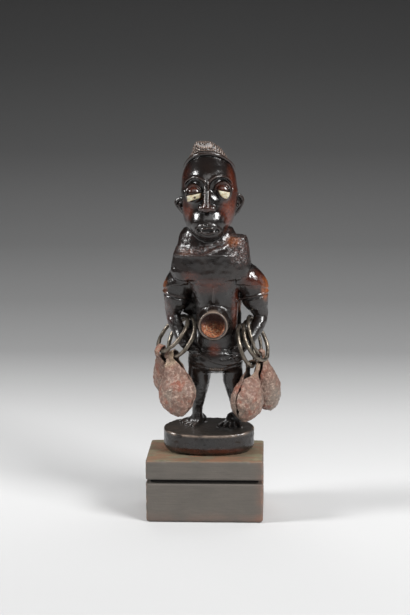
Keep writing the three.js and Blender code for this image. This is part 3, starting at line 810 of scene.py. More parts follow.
def surface_nets(field):
    """Points, in lattice steps, and four-cornered faces that all point out of the wood."""
    cells, shape = crossing_cells(field)
    number = np.full(shape, -1, np.int32)
    number[tuple(cells.T)] = np.arange(len(cells))
    corners = [(i, j, k) for i in (0, 1) for j in (0, 1) for k in (0, 1)]
    value = {c: field[tuple((cells + c).T)] for c in corners}
    total, hits = np.zeros((len(cells), 3)), np.zeros(len(cells))
    for a in corners:
        for axis in range(3):
            if a[axis]:
                continue
            b = tuple(1 if i == axis else c for i, c in enumerate(a))
            crossed = (value[a] < 0) != (value[b] < 0)
            t = np.where(crossed, value[a] / np.where(crossed, value[a] - value[b], 1), 0)
            here = np.array(a) + t[:, None] * np.eye(3)[axis]
            total += here * crossed[:, None]
            hits += crossed
    faces = [faces_across(field, number, axis) for axis in range(3)]
    return cells + total / hits[:, None], np.vstack(faces)


def faces_across(field, number, axis):
    """For each lattice edge along an axis that crosses the skin, the four cells round it, turned outwards."""
    ahead = [slice(None)] * 3
    here = [slice(None)] * 3
    ahead[axis], here[axis] = slice(1, None), slice(None, -1)
    inside, beyond = field[tuple(here)] < 0, field[tuple(ahead)] < 0
    edges = np.argwhere(inside != beyond)
    u, v = np.eye(3, dtype=int)[(axis + 1) % 3], np.eye(3, dtype=int)[(axis + 2) % 3]
    around = np.stack([number[tuple((edges - shift).T)] for shift in (0 * u, u, u + v, v)], 1)
    outward = inside[tuple(edges.T)]
    return np.where(outward[:, None], around, around[:, ::-1])


def read_block(values, points):
    """The lattice's value at any points, by straight lines between the eight lattice points round each."""
    at = (points - np.array(BLOCK_LOW)) / STEP
    base = np.clip(np.floor(at).astype(int), 0, np.array(values.shape) - 2)
    share = at - base
    result = np.zeros(len(points))
    for i, j, k in np.ndindex(2, 2, 2):
        weight = np.prod(np.where((i, j, k), share, 1 - share), axis=1)
        result += weight * values[base[:, 0] + i, base[:, 1] + j, base[:, 2] + k]
    return result


def slope_at(values, points):
    """Slope of the lattice's value, from readings half a step to each side."""
    shifts = np.eye(3) * STEP / 2
    rises = [read_block(values, points + s) - read_block(values, points - s) for s in shifts]
    return np.stack(rises, 1) / STEP


def to_skin(points, passes=2):
    """Moves points along the slope by value over slope, at most half a step each time."""
    for _ in range(passes):
        slope = slope_at(block, points)
        steepness = np.maximum((slope**2).sum(1), 0.05)
        shift = read_block(block, points) / steepness
        points = points - np.clip(shift, -STEP / 2, STEP / 2)[:, None] * slope
    return points


lattice_points, skin_faces = surface_nets(block)
skin_points = to_skin(lattice_points * STEP + np.array(BLOCK_LOW))
print("skin:", len(skin_points), "points,", len(skin_faces), "faces")

# %% [markdown]
# ## Hand work on the skin
#
# No carved surface is true. Each point of the skin is pushed in or out a little: long soft waves from the
# adze, pits where the yoke is crusted with old offerings, and grain in the cup's lining of packed earth.

# %% Where the skin is crusted, and how uneven it is
def crust_amount(points):
    """0 to 1: the crusted shoulder block, the ledge over the yoke's ridge and the slopes up to the neck."""
    x, y, z = points.T
    shoulder = spot(points, (23, -4, 173), (9, 16, 12))
    above = z - 172.2 - 0.02 * np.maximum(x + 2, 0) ** 2
    ledge = 0.9 * ridge(above, 2.4) * step((4 - y) / 6) * step((24 - x) / 8)
    slopes = 0.25 * between(z, 171, 184, 2.5) * step((np.abs(x - 3.6) - 6) / 6)
    return np.clip(np.maximum.reduce([shoulder, ledge, slopes]), 0, 1)


def earth_amount(points):
    """0 to 1 inside the belly cup, just behind its lip."""
    away = np.hypot(points[:, 0] - CUP_X, points[:, 2] - CUP_Z)
    depth = points[:, 1] - CUP_FRONT
    return step((CUP_RIM - CUP_LIP - 0.1 - away) / 0.5) * step((depth - 0.3) / 0.7) * step((12 - depth) / 2)


def unevenness(points):
    """Height of the hand work: adze waves all over, pits and lumps where there is crust or earth."""
    rough = 1 - 0.75 * step((points[:, 2] - 186) / 10)
    adze = rough * (0.15 * ripple(points, 9, 11) + 0.08 * ripple(points, 3.8, 12))
    lumps = 0.16 * ripple(points, 2.2, 13) + 0.12 * np.minimum(ripple(points, 3.6, 14), 0)
    grit = 0.22 * ripple(points, 1.7, 15) + 0.1 * ripple(points, 4, 16)
    return adze + crust_amount(points) * lumps + earth_amount(points) * grit


def push_out(points, heights):
    """Moves each point along the slope of the distance, which points straight out of the wood."""
    slope = slope_at(block, points)
    return points + slope / np.linalg.norm(slope, axis=1, keepdims=True) * heights[:, None]


skin_points = push_out(skin_points, unevenness(skin_points))
skin_points[:, 2] = np.maximum(skin_points[:, 2], FOOTING_BASE)

# %% [markdown]
# ## Fewer faces, and the marks that the finish needs
#
# The Decimate modifier merges faces where the skin is nearly flat and keeps them in cuts and edges. The
# finish needs to know where hands have rubbed and where shade is painted into the cuts. The mean of the
# distance in a small cube round a point tells: it is above zero on an edge, where most of the cube is air,
# and below zero in a cut.

# %% The figure's mesh
MOST_TRIANGLES = 190_000


def thinned(piece, share):
    """Bakes a Decimate modifier into the piece's mesh."""
    modifier = piece.modifiers.new("fewer faces", "DECIMATE")
    modifier.ratio = share
    evaluated = piece.evaluated_get(bpy.context.evaluated_depsgraph_get())
    piece.modifiers.clear()
    piece.data = bpy.data.meshes.new_from_object(evaluated)
    piece.data.shade_smooth()


def box_mean(values, cells):
    """Mean over a cube of 2 * cells + 1 lattice points a side, by running sums along each axis in turn."""
    for axis in range(3):
        pad = [(cells + 1, cells) if i == axis else (0, 0) for i in range(3)]
        sums = np.cumsum(np.pad(values, pad, mode="edge"), axis=axis, dtype=np.float32)
        size = values.shape[axis]
        ahead = np.take(sums, np.arange(2 * cells + 1, 2 * cells + 1 + size), axis=axis)
        behind = np.take(sums, np.arange(size), axis=axis)
        values = (ahead - behind) / (2 * cells + 1)
    return values


figure = make_piece("carved_wood", skin_points, skin_faces, ["carved_figure"])
thinned(figure, MOST_TRIANGLES / (2 * len(skin_faces)))
print("after thinning:", len(figure.data.polygons), "triangles")

# %% Wear, dirt, crust and earth on each point
# Rows of spots are the centre, the half sizes and, where they differ, how strong the spot is.
WEAR_SPOTS = [
    ((-11.5, -11, 197.5), (6, 9, 7), 1.0), ((15.5, -10, 198), (6, 10, 8), 1.0),
    ((16.5, -8, 189), (4.5, 9, 8), 0.6), ((18.5, -4, 214), (5, 10, 14), 0.7),
    ((-11.5, -6, 219), (6, 8, 9), 0.4), ((-5.2, -17, 211.5), (5, 4, 3.4), 0.7),
    ((12.3, -17, 213), (5, 4, 3.4), 0.8), ((3.0, -21, 199), (5, 3, 5), 0.6),
    ((-9, -14, 155), (8, 5, 5), 0.6), ((3, -10, 151), (16, 6, 6), 0.55), ((32, -3, 153), (10, 10, 6), 0.6),
    # The first spot on the next row, on the wood behind the right arm, is partly red wear and partly painted
    # light on its lit side.
    ((20.5, -4, 134), (3.5, 8, 14), 0.8), ((-24, 2, 132), (5, 9, 12), 0.5), ((6, -10, 110), (5, 4, 5), 0.5),
    ((2, -14, 43.5), (30, 10, 2.4), 0.7),
]
OCHRE_SPOTS = [
    ((-27, 0, 148), (4, 9, 8), 1.0), ((40, 0, 147), (4.5, 9, 9), 1.0),
    ((18.5, -9, 178.5), (5.5, 6, 4.5), 0.8), ((-14, -12, 171.5), (9, 6, 2.2), 0.35),
    # The next spot, on the same wood behind the right arm, is partly ochre wear and partly painted highlight
    # on its lit side.
    ((22.3, 7, 134), (2.4, 8, 6), 0.8),
]
SLEEK_PLACES = [
    ((-17, -2, 155), (13, 16, 6)), ((31, -2, 154), (12, 16, 6)), ((-8, -8, 107), (9, 8, 5)),
    ((21, -8, 107), (9, 8, 5)),
]


def spots_total(points, spots):
    return np.clip(sum(weight * spot(points, centre, half) for centre, half, weight in spots), 0, 1)


def sleek_amount(points):
    """1 on the head, the shoulder caps and the hands, where oil and handling have left the most gloss."""
    head = step((points[:, 2] - 170) / 4)
    muzzle = spot(points, (3, -20, 188.5), (11, 7, 6.5))
    gloss = head + 0.8 * sum(spot(points, *place) for place in SLEEK_PLACES) - 0.9 * muzzle
    return np.clip(gloss, 0, 1) * (1 - np.clip(2 * crust_amount(points), 0, 1))


def pale_edge_and_highlight_amount(points):
    """1 along pale edges, partly rubbed wear and partly painted highlight: the cup's lip, a painted highlight
    on the top of the cup's stub, the footing's top edge and the cloth's hem.
    """
    x, y, z = points.T
    away = np.hypot(x - CUP_X, z - CUP_Z)
    lip = 0.8 * ridge(away - CUP_RIM + 0.5, 0.5) * ridge(y - CUP_FRONT, 0.7)
    # painted highlight on the lit top of the cup's stub
    stub_top_highlight = 0.5 * spot(points, (CUP_X, -16.5, 135.6), (6, 3, 1.6))
    u, v = np.abs(x - FOOTING_X) / FOOTING_HALF_X, np.abs(y - FOOTING_Y) / FOOTING_HALF_Y
    out = u**OVAL_POWER + v**OVAL_POWER
    footing = ridge(z - footing_top(y) + 0.6, 0.7) * step((out - 0.9) / 0.08)
    uneven = step(0.8 + 0.9 * ripple(points, 9, 61))
    hem = 0.4 * between(z, 94.8, 97.4, 0.6) * between(x, 2.5, 12.5, 1) * step(-y / 2)
    return np.clip(lip + stub_top_highlight + footing * uneven + hem, 0, 1)


figure_points = points_of(figure)
figure_heights = figure_points[:, 2]
relief = read_block(box_mean(block, 3), figure_points) - read_block(block, figure_points)
earth = earth_amount(figure_points)
set_all(figure, {
    "rubbed": np.clip((relief - 0.12) * 2.2, 0, 1),
    # painted shade: darker in the cuts, where the skin lies below the mean round it
    "painted_cut_shade": np.clip((-relief - 0.1) * 2.2, 0, 1),
    "red_wear": spots_total(figure_points, WEAR_SPOTS),
    "ochre_wear": spots_total(figure_points, OCHRE_SPOTS),
    "crust": crust_amount(figure_points),
    "sleek": sleek_amount(figure_points),
    "edge": pale_edge_and_highlight_amount(figure_points),
    # painted sheen: the footing's top and the feet just above it are paler, in place of a reflection of the
    # table
    "painted_top_sheen": step((60 - figure_heights) / 3) * step(figure_heights - 53.4),
    "earth": earth,
    # the charge's orange grains, shown in the lower half only: painted light on the lower part of the cup
    "lit_lower_charge": earth * step((CUP_Z + 2.5 - figure_heights) / 6),
    "hatched": step((behind_hairline(figure_points[:, 1], figure_heights) - BAND - 0.6) / 0.5),
})
print("relief from", round(float(relief.min()), 2), "to", round(float(relief.max()), 2))

# %% [markdown]
# ## The block under the figure
#
# A plain block of stained wood with a saw groove all round: a rounded rectangle carried up a profile, and
# across the top and underside to the middle. A loop along a profile suits a form whose every level has
# the same outline, and its dense grid takes nicks and rubbed corners.

# %% A loop carried along a profile
def rounded_rectangle(half_x, half_y, radius, count):
    """Points of a rectangle with round corners, evenly far apart, anticlockwise from above."""
    turns = np.linspace(0, math.pi / 2, 9)
    centre = np.array([half_x - radius, half_y - radius])
    corners = np.vstack([
        centre * [sx, sy] + radius * np.stack([np.cos(turns + q), np.sin(turns + q)], 1)
        for sx, sy, q in ((1, 1, 0), (-1, 1, math.pi / 2), (-1, -1, math.pi), (1, -1, 1.5 * math.pi))
    ])
    closed = np.vstack([corners, corners[:1]])
    along = np.concatenate([[0], np.cumsum(np.linalg.norm(np.diff(closed, axis=0), axis=1))])
    wanted = np.linspace(0, along[-1], count, endpoint=False)
    return np.stack([np.interp(wanted, along, column) for column in closed.T], 1)


def closed_form(loops):
    """Points and faces of a surface through loops (rows, count, 3), with a fan to a middle at each end."""
    rows, count, _ = loops.shape
    i = np.arange(rows * count).reshape(rows, count)
    quads = grid_faces(np.hstack([i, i[:, :1]]))
    first, last = rows * count, rows * count + 1
    fans = [[first, b, a] for a, b in zip(i[0], np.roll(i[0], -1))]
    fans += [[last, a, b] for a, b in zip(i[-1], np.roll(i[-1], -1))]
    points = np.vstack([loops.reshape(-1, 3), loops[0].mean(0), loops[-1].mean(0)])
    return points, quads.tolist() + fans


# %% Block: profile, wear and marks
HALF_WIDTH, HALF_DEPTH, HEIGHT = 37.0, 24.0, 40.5
GROOVE_LOW, GROOVE_HIGH, GROOVE_DEPTH = 25.5, 28.2, 2.8
CORNER, AROUND = 1.3, 240


def densely(pairs, spacing):
    """Points [z, inset] along straight lines between pairs, at most `spacing` apart."""
    rows = [np.array(pairs[0], float)]
    for a, b in zip(np.array(pairs, float), np.array(pairs[1:], float)):
        parts = max(math.ceil(np.linalg.norm(b - a) / spacing), 1)
        rows += [a + (b - a) * (n + 1) / parts for n in range(parts)]
    return np.array(rows)


def block_loops():
    """Loops up the wall, between shrunken copies of the first and the last across the underside and top."""
    wall = densely([
        (0, 1.5), (0.35, 0.8), (0.9, 0.3), (1.6, 0), (GROOVE_LOW - 0.3, 0), (GROOVE_LOW, 0.3),
        (GROOVE_LOW, GROOVE_DEPTH), (GROOVE_HIGH, GROOVE_DEPTH), (GROOVE_HIGH, 0.3), (GROOVE_HIGH + 0.3, 0),
        (HEIGHT - 0.7, 0), (HEIGHT - 0.25, 0.18), (HEIGHT, 0.75),
    ], 1.2)
    loops = []
    for z, inset in wall:
        corner = max(CORNER - inset * 0.3, 0.4)
        outline = rounded_rectangle(HALF_WIDTH - inset, HALF_DEPTH - inset, corner, AROUND)
        loops.append(np.column_stack([outline, np.full(AROUND, z)]))
    shrink = np.linspace(0.04, 0.97, 22)
    under = [loops[0] * [k, k, 1] for k in shrink]
    over = [loops[-1] * [k, k, 1] for k in shrink[::-1]]
    return np.array(under + loops + over)


def block_wear(points):
    """Nicks and rubbed edges: moves points in where two faces meet, unevenly, and a little over the front and
    back faces.
    """
    x, y, z = points.T
    near_top = ridge(HEIGHT - z, 0.9)
    to_side, to_front = HALF_WIDTH - np.abs(x), HALF_DEPTH - np.abs(y)
    near_corner = ridge(to_side, 1.4) * ridge(to_front, 1.4)
    edge = np.maximum(near_top * np.maximum(ridge(to_front, 1.2), ridge(to_side, 1.2)), near_corner)
    nick = np.clip(ripple(points, 5, 31) - 0.35, 0, 1) * 0.7 + 0.12
    inward = np.stack([-np.sign(x), -np.sign(y), -near_top], 1) * (edge * nick * 0.6)[:, None]
    flat = np.abs(z - HEIGHT) < 0.01
    saw = 0.05 * ripple(points * [0.3, 0.3, 2.0], 3, 32)
    inward[:, 1] += np.where(flat, 0, np.where(np.abs(y) > HALF_DEPTH - 0.5, saw, 0))
    return points + inward


block_points, block_faces = closed_form(block_loops())
block_points = block_wear(block_points)
base = make_piece("grooved_block", block_points, block_faces, ["plinth_block"])

# %% [markdown]
# ## Iron rings
#
# Each ring is a bent wire, so it is a circle carried round a circle. Hand-forged wire is never even: its
# thickness and its path waver a little, and where the two ends butt together there is a notch.

# %% Rings
# Rows are the centre, the direction square to the ring, its radius and the wire's.
RINGS = {
    "left_wrist_ring_outer": ((-20.6, 2.8, 117), (0.69, 0.32, -0.64), 13.5, 1.0),
    "left_wrist_ring_inner": ((-14.9, 1.3, 115), (0.75, 0.42, -0.5), 13.5, 1.0),
    "right_wrist_ring_inner": ((26.3, -0.6, 109.9), (0.93, -0.21, 0.32), 13.5, 1.0),
    "right_wrist_ring_outer": ((32.2, 2.9, 112.6), (0.83, -0.35, 0.45), 13.5, 1.0),
    "right_wrist_ring_thin": ((31.5, 4.8, 115.4), (0.95, -0.13, 0.3), 12.5, 0.85),
}
WIRE_FULLNESS, JOINT_AT = 1.28, 2.4


def ring_axes(axis):
    """The ring's own directions: square to it, down its slope, and level across it."""
    square = np.array(axis) / np.linalg.norm(axis)
    down = np.array([0, 0, -1]) + square * square[2]
    down /= np.linalg.norm(down)
    return square, down, np.cross(square, down)


def lowest_point(ring):
    centre, axis, radius, _ = RINGS[ring]
    return np.array(centre) + ring_axes(axis)[1] * radius


def forged_ring(name, seed, around=200, sides=18):
    """A circle of the wire's radius at each angle of the ring; both radii waver, and the joint is thinner."""
    centre, axis, radius, wire = RINGS[name]
    square, down, across = ring_axes(axis)
    wire *= WIRE_FULLNESS
    turn = np.linspace(0, 2 * math.pi, around, endpoint=False)[:, None]
    round_wire = np.linspace(0, 2 * math.pi, sides, endpoint=False)[None, :]
    circle = np.column_stack([np.cos(turn), np.sin(turn), 0 * turn])
    waver = ripple(circle * 8, 9, seed)[:, None]
    dents = ripple(circle * 13, 5, seed + 40)[:, None]
    joint = ridge(np.angle(np.exp(1j * (turn - JOINT_AT))), 0.018)
    thick = wire * (1 + 0.07 * dents - 0.4 * joint)
    reach = radius + 0.1 * waver + thick * np.cos(round_wire)
    points = (
        np.array(centre)
        + (reach * np.cos(turn))[..., None] * down
        + (reach * np.sin(turn))[..., None] * across
        + (thick * np.sin(round_wire) + 0.12 * dents)[..., None] * square
    )
    i = np.arange(around * sides).reshape(around, sides)
    return points.reshape(-1, 3), grid_faces(np.pad(i, (0, 1), mode="wrap"))[:, [0, 3, 2, 1]]


def volume_inside(points, faces):
    """Six times the volume: the sum over triangles of a . (b x c), above zero where faces point outwards."""
    corners = points[np.asarray(faces)]
    halves = [corners[:, [0, 1, 2]], corners[:, [0, 2, 3]]]
    return sum(float(np.einsum("ij,ij->i", t[:, 0], np.cross(t[:, 1], t[:, 2])).sum()) for t in halves)


def outward(points, faces):
    return faces if volume_inside(points - points.mean(0), faces) > 0 else faces[:, ::-1]


rings = {}
for seed, name in enumerate(RINGS):
    points, faces = forged_ring(name, 50 + seed)
    finished = name.replace("wrist_ring", "iron_ring")
    rings[name] = make_piece(finished, points, outward(points, faces), [name])

# %% [markdown]
# ## Iron bells
#
# A folded bell is one strip of sheet, hammered into two bowls with a narrow strap between them and folded
# over the ring, so that the bowls face each other with a slit down each side. The sheet is a path from
# the tip of one bowl over the ring to the tip of the other, and across the path lies a section that is
# flat at the strap and round at the bowls. A second surface a wall's thickness inside it, joined round
# the rim, makes it real sheet.

# %% Bell shapes
# Rows of the strap and the bowl are the distance down from the eye, half the width and half the depth.
FOLD_TOP = 3.3
STRAP_ROWS = [(-2.5, 0.92, 0.78), (-0.4, 1.0, 1.0), (4.2, 1.08, 0.9)]
BOWL_ROWS = [
    (10.7, 7.4, 5.2), (17.2, 10.5, 7.4), (23.6, 12, 8.4), (30.3, 10.4, 7.3), (35.6, 6, 4.6),
    (38.7, 1.6, 1.0),
]
STRAP_POWER, BOWL_POWER = 5.0, 2.0
STRAP_EDGE = 0.93
SLIT_HALF = 0.6
WALL = 1.15
BELL_FIELDS = ("ring", "hang", "face", "size", "strap")
BELL_ROWS = {
    "bell_left_front": (
        "left_wrist_ring_inner", (0.17, -0.46), (0.85, -0.53), (1.08, 1, 1.02), (4.6, 3.6),
    ),
    "bell_left_back": (
        "left_wrist_ring_outer", (0.2, 0.54), (0.82, -0.57), (0.96, 0.9, 1.18), (2.7, 3.9),
    ),
    "bell_right_front": (
        "right_wrist_ring_inner", (-0.175, -0.265), (-0.57, -0.82), (0.96, 1.2, 0.93), (2.9, 4.3),
    ),
    "bell_right_back": (
        "right_wrist_ring_thin", (0.16, 0.36), (-0.42, -0.91), (0.92, 0.98, 1.13), (2.5, 2.5),
    ),
}
BELLS = {name: dict(zip(BELL_FIELDS, row)) for name, row in BELL_ROWS.items()}


def fold_path(bell, per_span=12):
    """Rows [down, half width, signed depth, power, edge] from one bowl's tip over the fold to the other's."""
    (wide, deep, long), (strap_width, strap_depth) = bell["size"], bell["strap"]
    half = [[d, w * strap_width, k * strap_depth, STRAP_POWER, STRAP_EDGE] for d, w, k in STRAP_ROWS]
    half += [[d * long, w * wide, k * deep, BOWL_POWER, SLIT_HALF / (k * deep)] for d, w, k in BOWL_ROWS]
    mirror = [[d, w, -k, p, e] for d, w, k, p, e in reversed(half)]
    top = [[-FOLD_TOP, 0.86 * strap_width, 0, STRAP_POWER, STRAP_EDGE]]
    path = smooth_path(mirror + top + half, per_span)
    path[:, 1] = np.maximum(path[:, 1], 0.8)
    return path


def signed_power(value, power):
    return np.sign(value) * np.abs(value) ** power


def sheet_outside(bell, seed, across=44):
    """Width, depth and height of the sheet's outside: W cos^(2/p) and D sin^(2/p) of an angle that runs
    between the two slit edges, at -down; the edges are ragged."""
    down, half_width, depth, power, edge = (column[:, None] for column in fold_path(bell).T)
    places = np.column_stack([down[:, 0] * 0.8, np.sign(depth[:, 0]) * 3, 0 * down[:, 0]])
    bowl = step((down - 8) / 6)
    wavy = [0.45 * ripple(places, 7, seed + n) + 0.22 * ripple(places, 2.2, seed + n + 7) for n in (0, 1)]
    share = [np.clip(edge + bowl * w[:, None] / np.maximum(np.abs(depth), 1.5), 0.02, 0.98) for w in wavy]
    start, end = (np.arcsin(signed_power(s, power / 2)) for s in share)
    t = np.linspace(0, 1, across)[None, :]
    angle = start + (math.pi - end - start) * t
    x = half_width * signed_power(np.cos(angle), 2 / power)
    y = depth * signed_power(np.sin(angle), 2 / power)
    return np.stack([x, y, np.broadcast_to(-down, x.shape)], -1)


def sheet_normals(grid):
    """Unit directions square to a grid of points, turned away from its middle line."""
    along, across = np.gradient(grid, axis=0), np.gradient(grid, axis=1)
    normal = np.cross(along, across)
    normal /= np.linalg.norm(normal, axis=2, keepdims=True) + 1e-9
    outwards = grid * [1, 1, 0] + [0, 0, 4] * (grid[..., 2:] > 0)
    flip = np.sign((normal * outwards).sum((0, 1, 2)))
    return normal * flip


def shell(outside, inside):
    """Points and faces of two grids joined along all four borders."""
    rows, columns, _ = outside.shape
    i = np.arange(rows * columns).reshape(rows, columns)
    j = i + rows * columns
    border = np.concatenate([i[0, :-1], i[:-1, -1], i[-1, :0:-1], i[:0:-1, 0]])
    ahead = np.roll(border, -1)
    rim = np.stack([border, ahead, ahead + rows * columns, border + rows * columns], 1)
    faces = np.vstack([grid_faces(i)[:, [0, 3, 2, 1]], grid_faces(j)[:, [1, 2, 3, 0]], rim])
    return np.vstack([outside.reshape(-1, 3), inside.reshape(-1, 3)]), faces


def bell_frame(bell):
    """Width, depth and up directions of a bell, and the eye it hangs by: the lowest point of its ring."""
    up = np.array([-bell["hang"][0], -bell["hang"][1], 1.0])
    up /= np.linalg.norm(up)
    width = np.array([*bell["face"], 0.0])
    width -= up * (up @ width)
    width /= np.linalg.norm(width)
    return np.stack([width, np.cross(up, width), up]), lowest_point(bell["ring"])


def forged_bell(name, seed):
    """The sheet, hammered in dents some 7 mm wide and pitted by rust some 2 mm wide, with its inner side."""
    bell = BELLS[name]
    outside = sheet_outside(bell, seed)
    normals = sheet_normals(outside)
    flat = outside.reshape(-1, 3)
    sizes = ((0.32, 8), (0.16, 2.6), (0.08, 1.3))
    dents = sum(depth * ripple(flat, size, seed + 20 + n) for n, (depth, size) in enumerate(sizes))
    dents = dents.reshape(outside.shape[:2])[..., None]
    outer, inner = outside + normals * dents, outside + normals * (0.6 * dents - WALL)
    points, faces = shell(outer, inner)
    axes, eye = bell_frame(bell)
    return points @ axes + eye, faces, points


bells = {}
for seed, name in enumerate(BELLS):
    points, faces, own = forged_bell(name, 100 + 30 * seed)
    finished = name.replace("bell", "iron_bell")
    bells[name] = make_piece(finished, points, outward(points, faces), [name])
    set_all(bells[name], {
        # the inner side, painted near black as shade in the material
        "inner": np.repeat([0.0, 1.0], len(own) // 2),
        "low": step((-own[:, 2] - 8) / 20),
        "strap": step((own[:, 2] + 9) / 4),
    })

# %% [markdown]
# ## Bone plates in the eyes
#
# Two scraps of bone, cut to the shape of the open eye and rubbed smooth. Each is a stack of loops from a
# small hole out over a slightly domed face, down the edge and in across the back. The outline is a
# polygon with soft corners: along any direction the nearest side counts, and a high power rounds that
# choice.

# %% Bone plates
# For each plate, the point from which its outline is measured and the radius of the drilled hole.
DRILLED = {"left": (0.9, -0.2, 0.75), "right": (0.2, -0.9, 0.0)}


def outline_radius(corners, middle, angles, power=16):
    """Distance from the middle to the outline: (sum of (n . way / distance)^p)^(-1/p) over the sides."""
    corners = np.array(corners) - middle
    normals = side_normals(corners)
    away = (normals * corners).sum(1)
    facing = np.stack([np.cos(angles), np.sin(angles)], 1) @ normals.T / away
    return (np.maximum(facing, 0) ** power).sum(1) ** (-1 / power)


def bone_plate(name):
    """Loops [share of the way out, height off the back] over the front, down the side and across the back."""
    eye = EYES[name]
    u, v, hole = DRILLED[name]
    angles = np.linspace(0, 2 * math.pi, 96, endpoint=False)
    radius = outline_radius(eye["shape"], (u, v), angles)
    front = [(0.02, PLATE_DEPTH - 1.4 * (hole > 0))]
    front += [(0.12, PLATE_DEPTH - 1.3)] if hole else []
    front += [(k, PLATE_DEPTH + 0.12 - 0.5 * k**4) for k in (0.24, 0.36, 0.5, 0.64, 0.78, 0.88, 0.95)]
    side = [(0.99, PLATE_DEPTH - 0.55), (1.0, PLATE_DEPTH - 0.9), (1.0, 0.6), (0.98, 0.0)]
    back = [(k, 0.0) for k in (0.7, 0.4, 0.1)]
    loops = []
    for share, height in front + side + back:
        reach = radius * share if not hole or share > 0.3 else np.minimum(radius * share, hole * share / 0.24)
        across, up = u + reach * np.cos(angles), v + reach * np.sin(angles)
        c, s = plate_turn(eye)
        x = eye["x"] + across * c + height * s
        y = PLATE_BACK + across * s - height * c
        loops.append(np.stack([x, y, eye["z"] + up], 1))
    return closed_form(np.array(loops))


plates = {}
for name in EYES:
    points, faces = bone_plate(name)
    points = points + np.array([0, -0.05, 0]) * ripple(points, 2.5, 71)[:, None]
    plates[name] = make_piece(f"bone_plate_{name}", points, faces, [f"eye_inlay_{name}"])

# %% [markdown]
# ## Materials: how a node is added
#
# Every material is built from the same few steps: a noise of a known size in millimetres, a colour for
# each finish, and one coat over another. Object coordinates are in metres, so a pattern of some
# millimetres is scaled by a thousand over its size.

# %% Nodes, colours, patches and coats
def linear(hex_colour):
    """The linear colour for an sRGB hex value: c/12.92 up to 0.04045, else ((c + 0.055)/1.055)^2.4."""
    channels = [int(hex_colour[i : i + 2], 16) / 255 for i in (0, 2, 4)]
    return [c / 12.92 if c <= 0.04045 else ((c + 0.055) / 1.055) ** 2.4 for c in channels] + [1.0]


def node(tree, kind, inputs=None, **settings):
    """Adds a node with its settings; inputs, by name or number, are linked to sockets or set to values."""
    made = tree.nodes.new(kind)
    for name, value in settings.items():
        setattr(made, name, value)
    for key, value in (inputs or {}).items():
        if isinstance(value, bpy.types.NodeSocket):
            tree.links.new(value, made.inputs[key])
        else:
            made.inputs[key].default_value = value
    return made


def patches(tree, size, low, high, stretch=(1, 1, 1), seed=0.0, detail=4.0):
    """0 to 1 in uneven patches: a noise `size` mm across and `stretch` times longer, from `low` to `high`."""
    where = node(tree, "ShaderNodeTexCoord").outputs["Object"]
    lie = {"Vector": where, "Scale": [1000 / size / s for s in stretch], "Location": [seed] * 3}
    placed = node(tree, "ShaderNodeMapping", lie).outputs[0]
    kind = {"Vector": placed, "Scale": 1.0, "Detail": detail, "Roughness": 0.6}
    noise = node(tree, "ShaderNodeTexNoise", kind).outputs[0]
    return node(tree, "ShaderNodeMapRange", {0: noise, 1: low, 2: high}).outputs[0]


def kept(tree, name):
    """The number that was kept for each point under a name."""
    return node(tree, "ShaderNodeAttribute", attribute_name=name).outputs["Fac"]


def all_kept(tree, *names):
    """The numbers kept under several names."""
    return [kept(tree, name) for name in names]


def product(tree, *amounts):
    """Amounts multiplied together and held between 0 and 1."""
    result = amounts[0]
    for amount in amounts[1:]:
        times = node(tree, "ShaderNodeMath", {0: result, 1: amount}, operation="MULTIPLY", use_clamp=True)
        result = times.outputs[0]
    return result


def coated(tree, colour, roughness, coats):
    """A ground under coats, each a hex colour, a roughness and amounts whose product says how much covers."""
    colour = linear(colour)
    for coat_colour, coat_roughness, *amounts in coats:
        amount = product(tree, *amounts)
        mixed = node(tree, "ShaderNodeMix", {0: amount, 6: colour, 7: linear(coat_colour)}, data_type="RGBA")
        rough = node(tree, "ShaderNodeMix", {0: amount, 2: roughness, 3: coat_roughness})
        colour, roughness = mixed.outputs[2], rough.outputs[0]
    return colour, roughness


def bumped(tree, heights):
    """One bump over another: each is a depth in mm and amounts whose product is the height, from 0 to 1."""
    normal = None
    for depth, *amounts in heights:
        inputs = {"Height": product(tree, *amounts), "Distance": depth * MM, "Strength": 1.0}
        if normal:
            inputs["Normal"] = normal
        normal = node(tree, "ShaderNodeBump", inputs).outputs[0]
    return normal


def new_material(name):
    material = bpy.data.materials.new(name)
    material.use_nodes = True
    tree = material.node_tree
    tree.nodes.clear()
    return material, tree


def finish_material(tree, colour, roughness, normal, **others):
    """A Principled shader with its colour, roughness, normal, and other inputs named with _ for a space."""
    inputs = {"Base Color": colour, "Roughness": roughness, "Normal": normal}
    inputs.update((name.replace("_", " "), value) for name, value in others.items())
    shader = node(tree, "ShaderNodeBsdfPrincipled", inputs)
    node(tree, "ShaderNodeOutputMaterial", {"Surface": shader.outputs[0]})


def coat_piece(piece, material):
    piece.data.materials.clear()
    piece.data.materials.append(material)


# %% [markdown]
# ## Oiled and smoked hardwood
#
# Dense tropical wood, soaked with palm oil and handled for years. It is nearly black, with a broad soft
# gloss. Hands have rubbed its high places to a red-brown, the arms' caps and the shoulder block are ochre
# where the oil has gone, and painted shade darkens the cuts. The yoke's slopes carry a granular crust.
# Painted highlights lighten the crown's knobs and some pale edges, a painted sheen lies on the footing's
# top, and painted light brightens the lower half of the belly cup's lining.

# %% Material: oiled and smoked hardwood
def knobs_between_grooves(tree):
    """The crown's crossed grooves again, as two crossing waves in the material: 1 on the knobs between, which
    are painted paler as highlights.
    """
    where, per_metre = node(tree, "ShaderNodeTexCoord").outputs["Object"], 2000 * math.pi / HATCH / 1.4
    waves = []
    for side in (1, -1):
        lie = (per_metre, -0.35 * side * per_metre, 0.8 * side * per_metre)
        run = node(tree, "ShaderNodeVectorMath", {0: where, 1: lie}, operation="DOT_PRODUCT").outputs["Value"]
        waves.append(node(tree, "ShaderNodeMath", {0: run}, operation="COSINE").outputs[0])
    return node(tree, "ShaderNodeMapRange", {0: product(tree, *waves), 1: -0.1, 2: 0.6}).outputs[0]


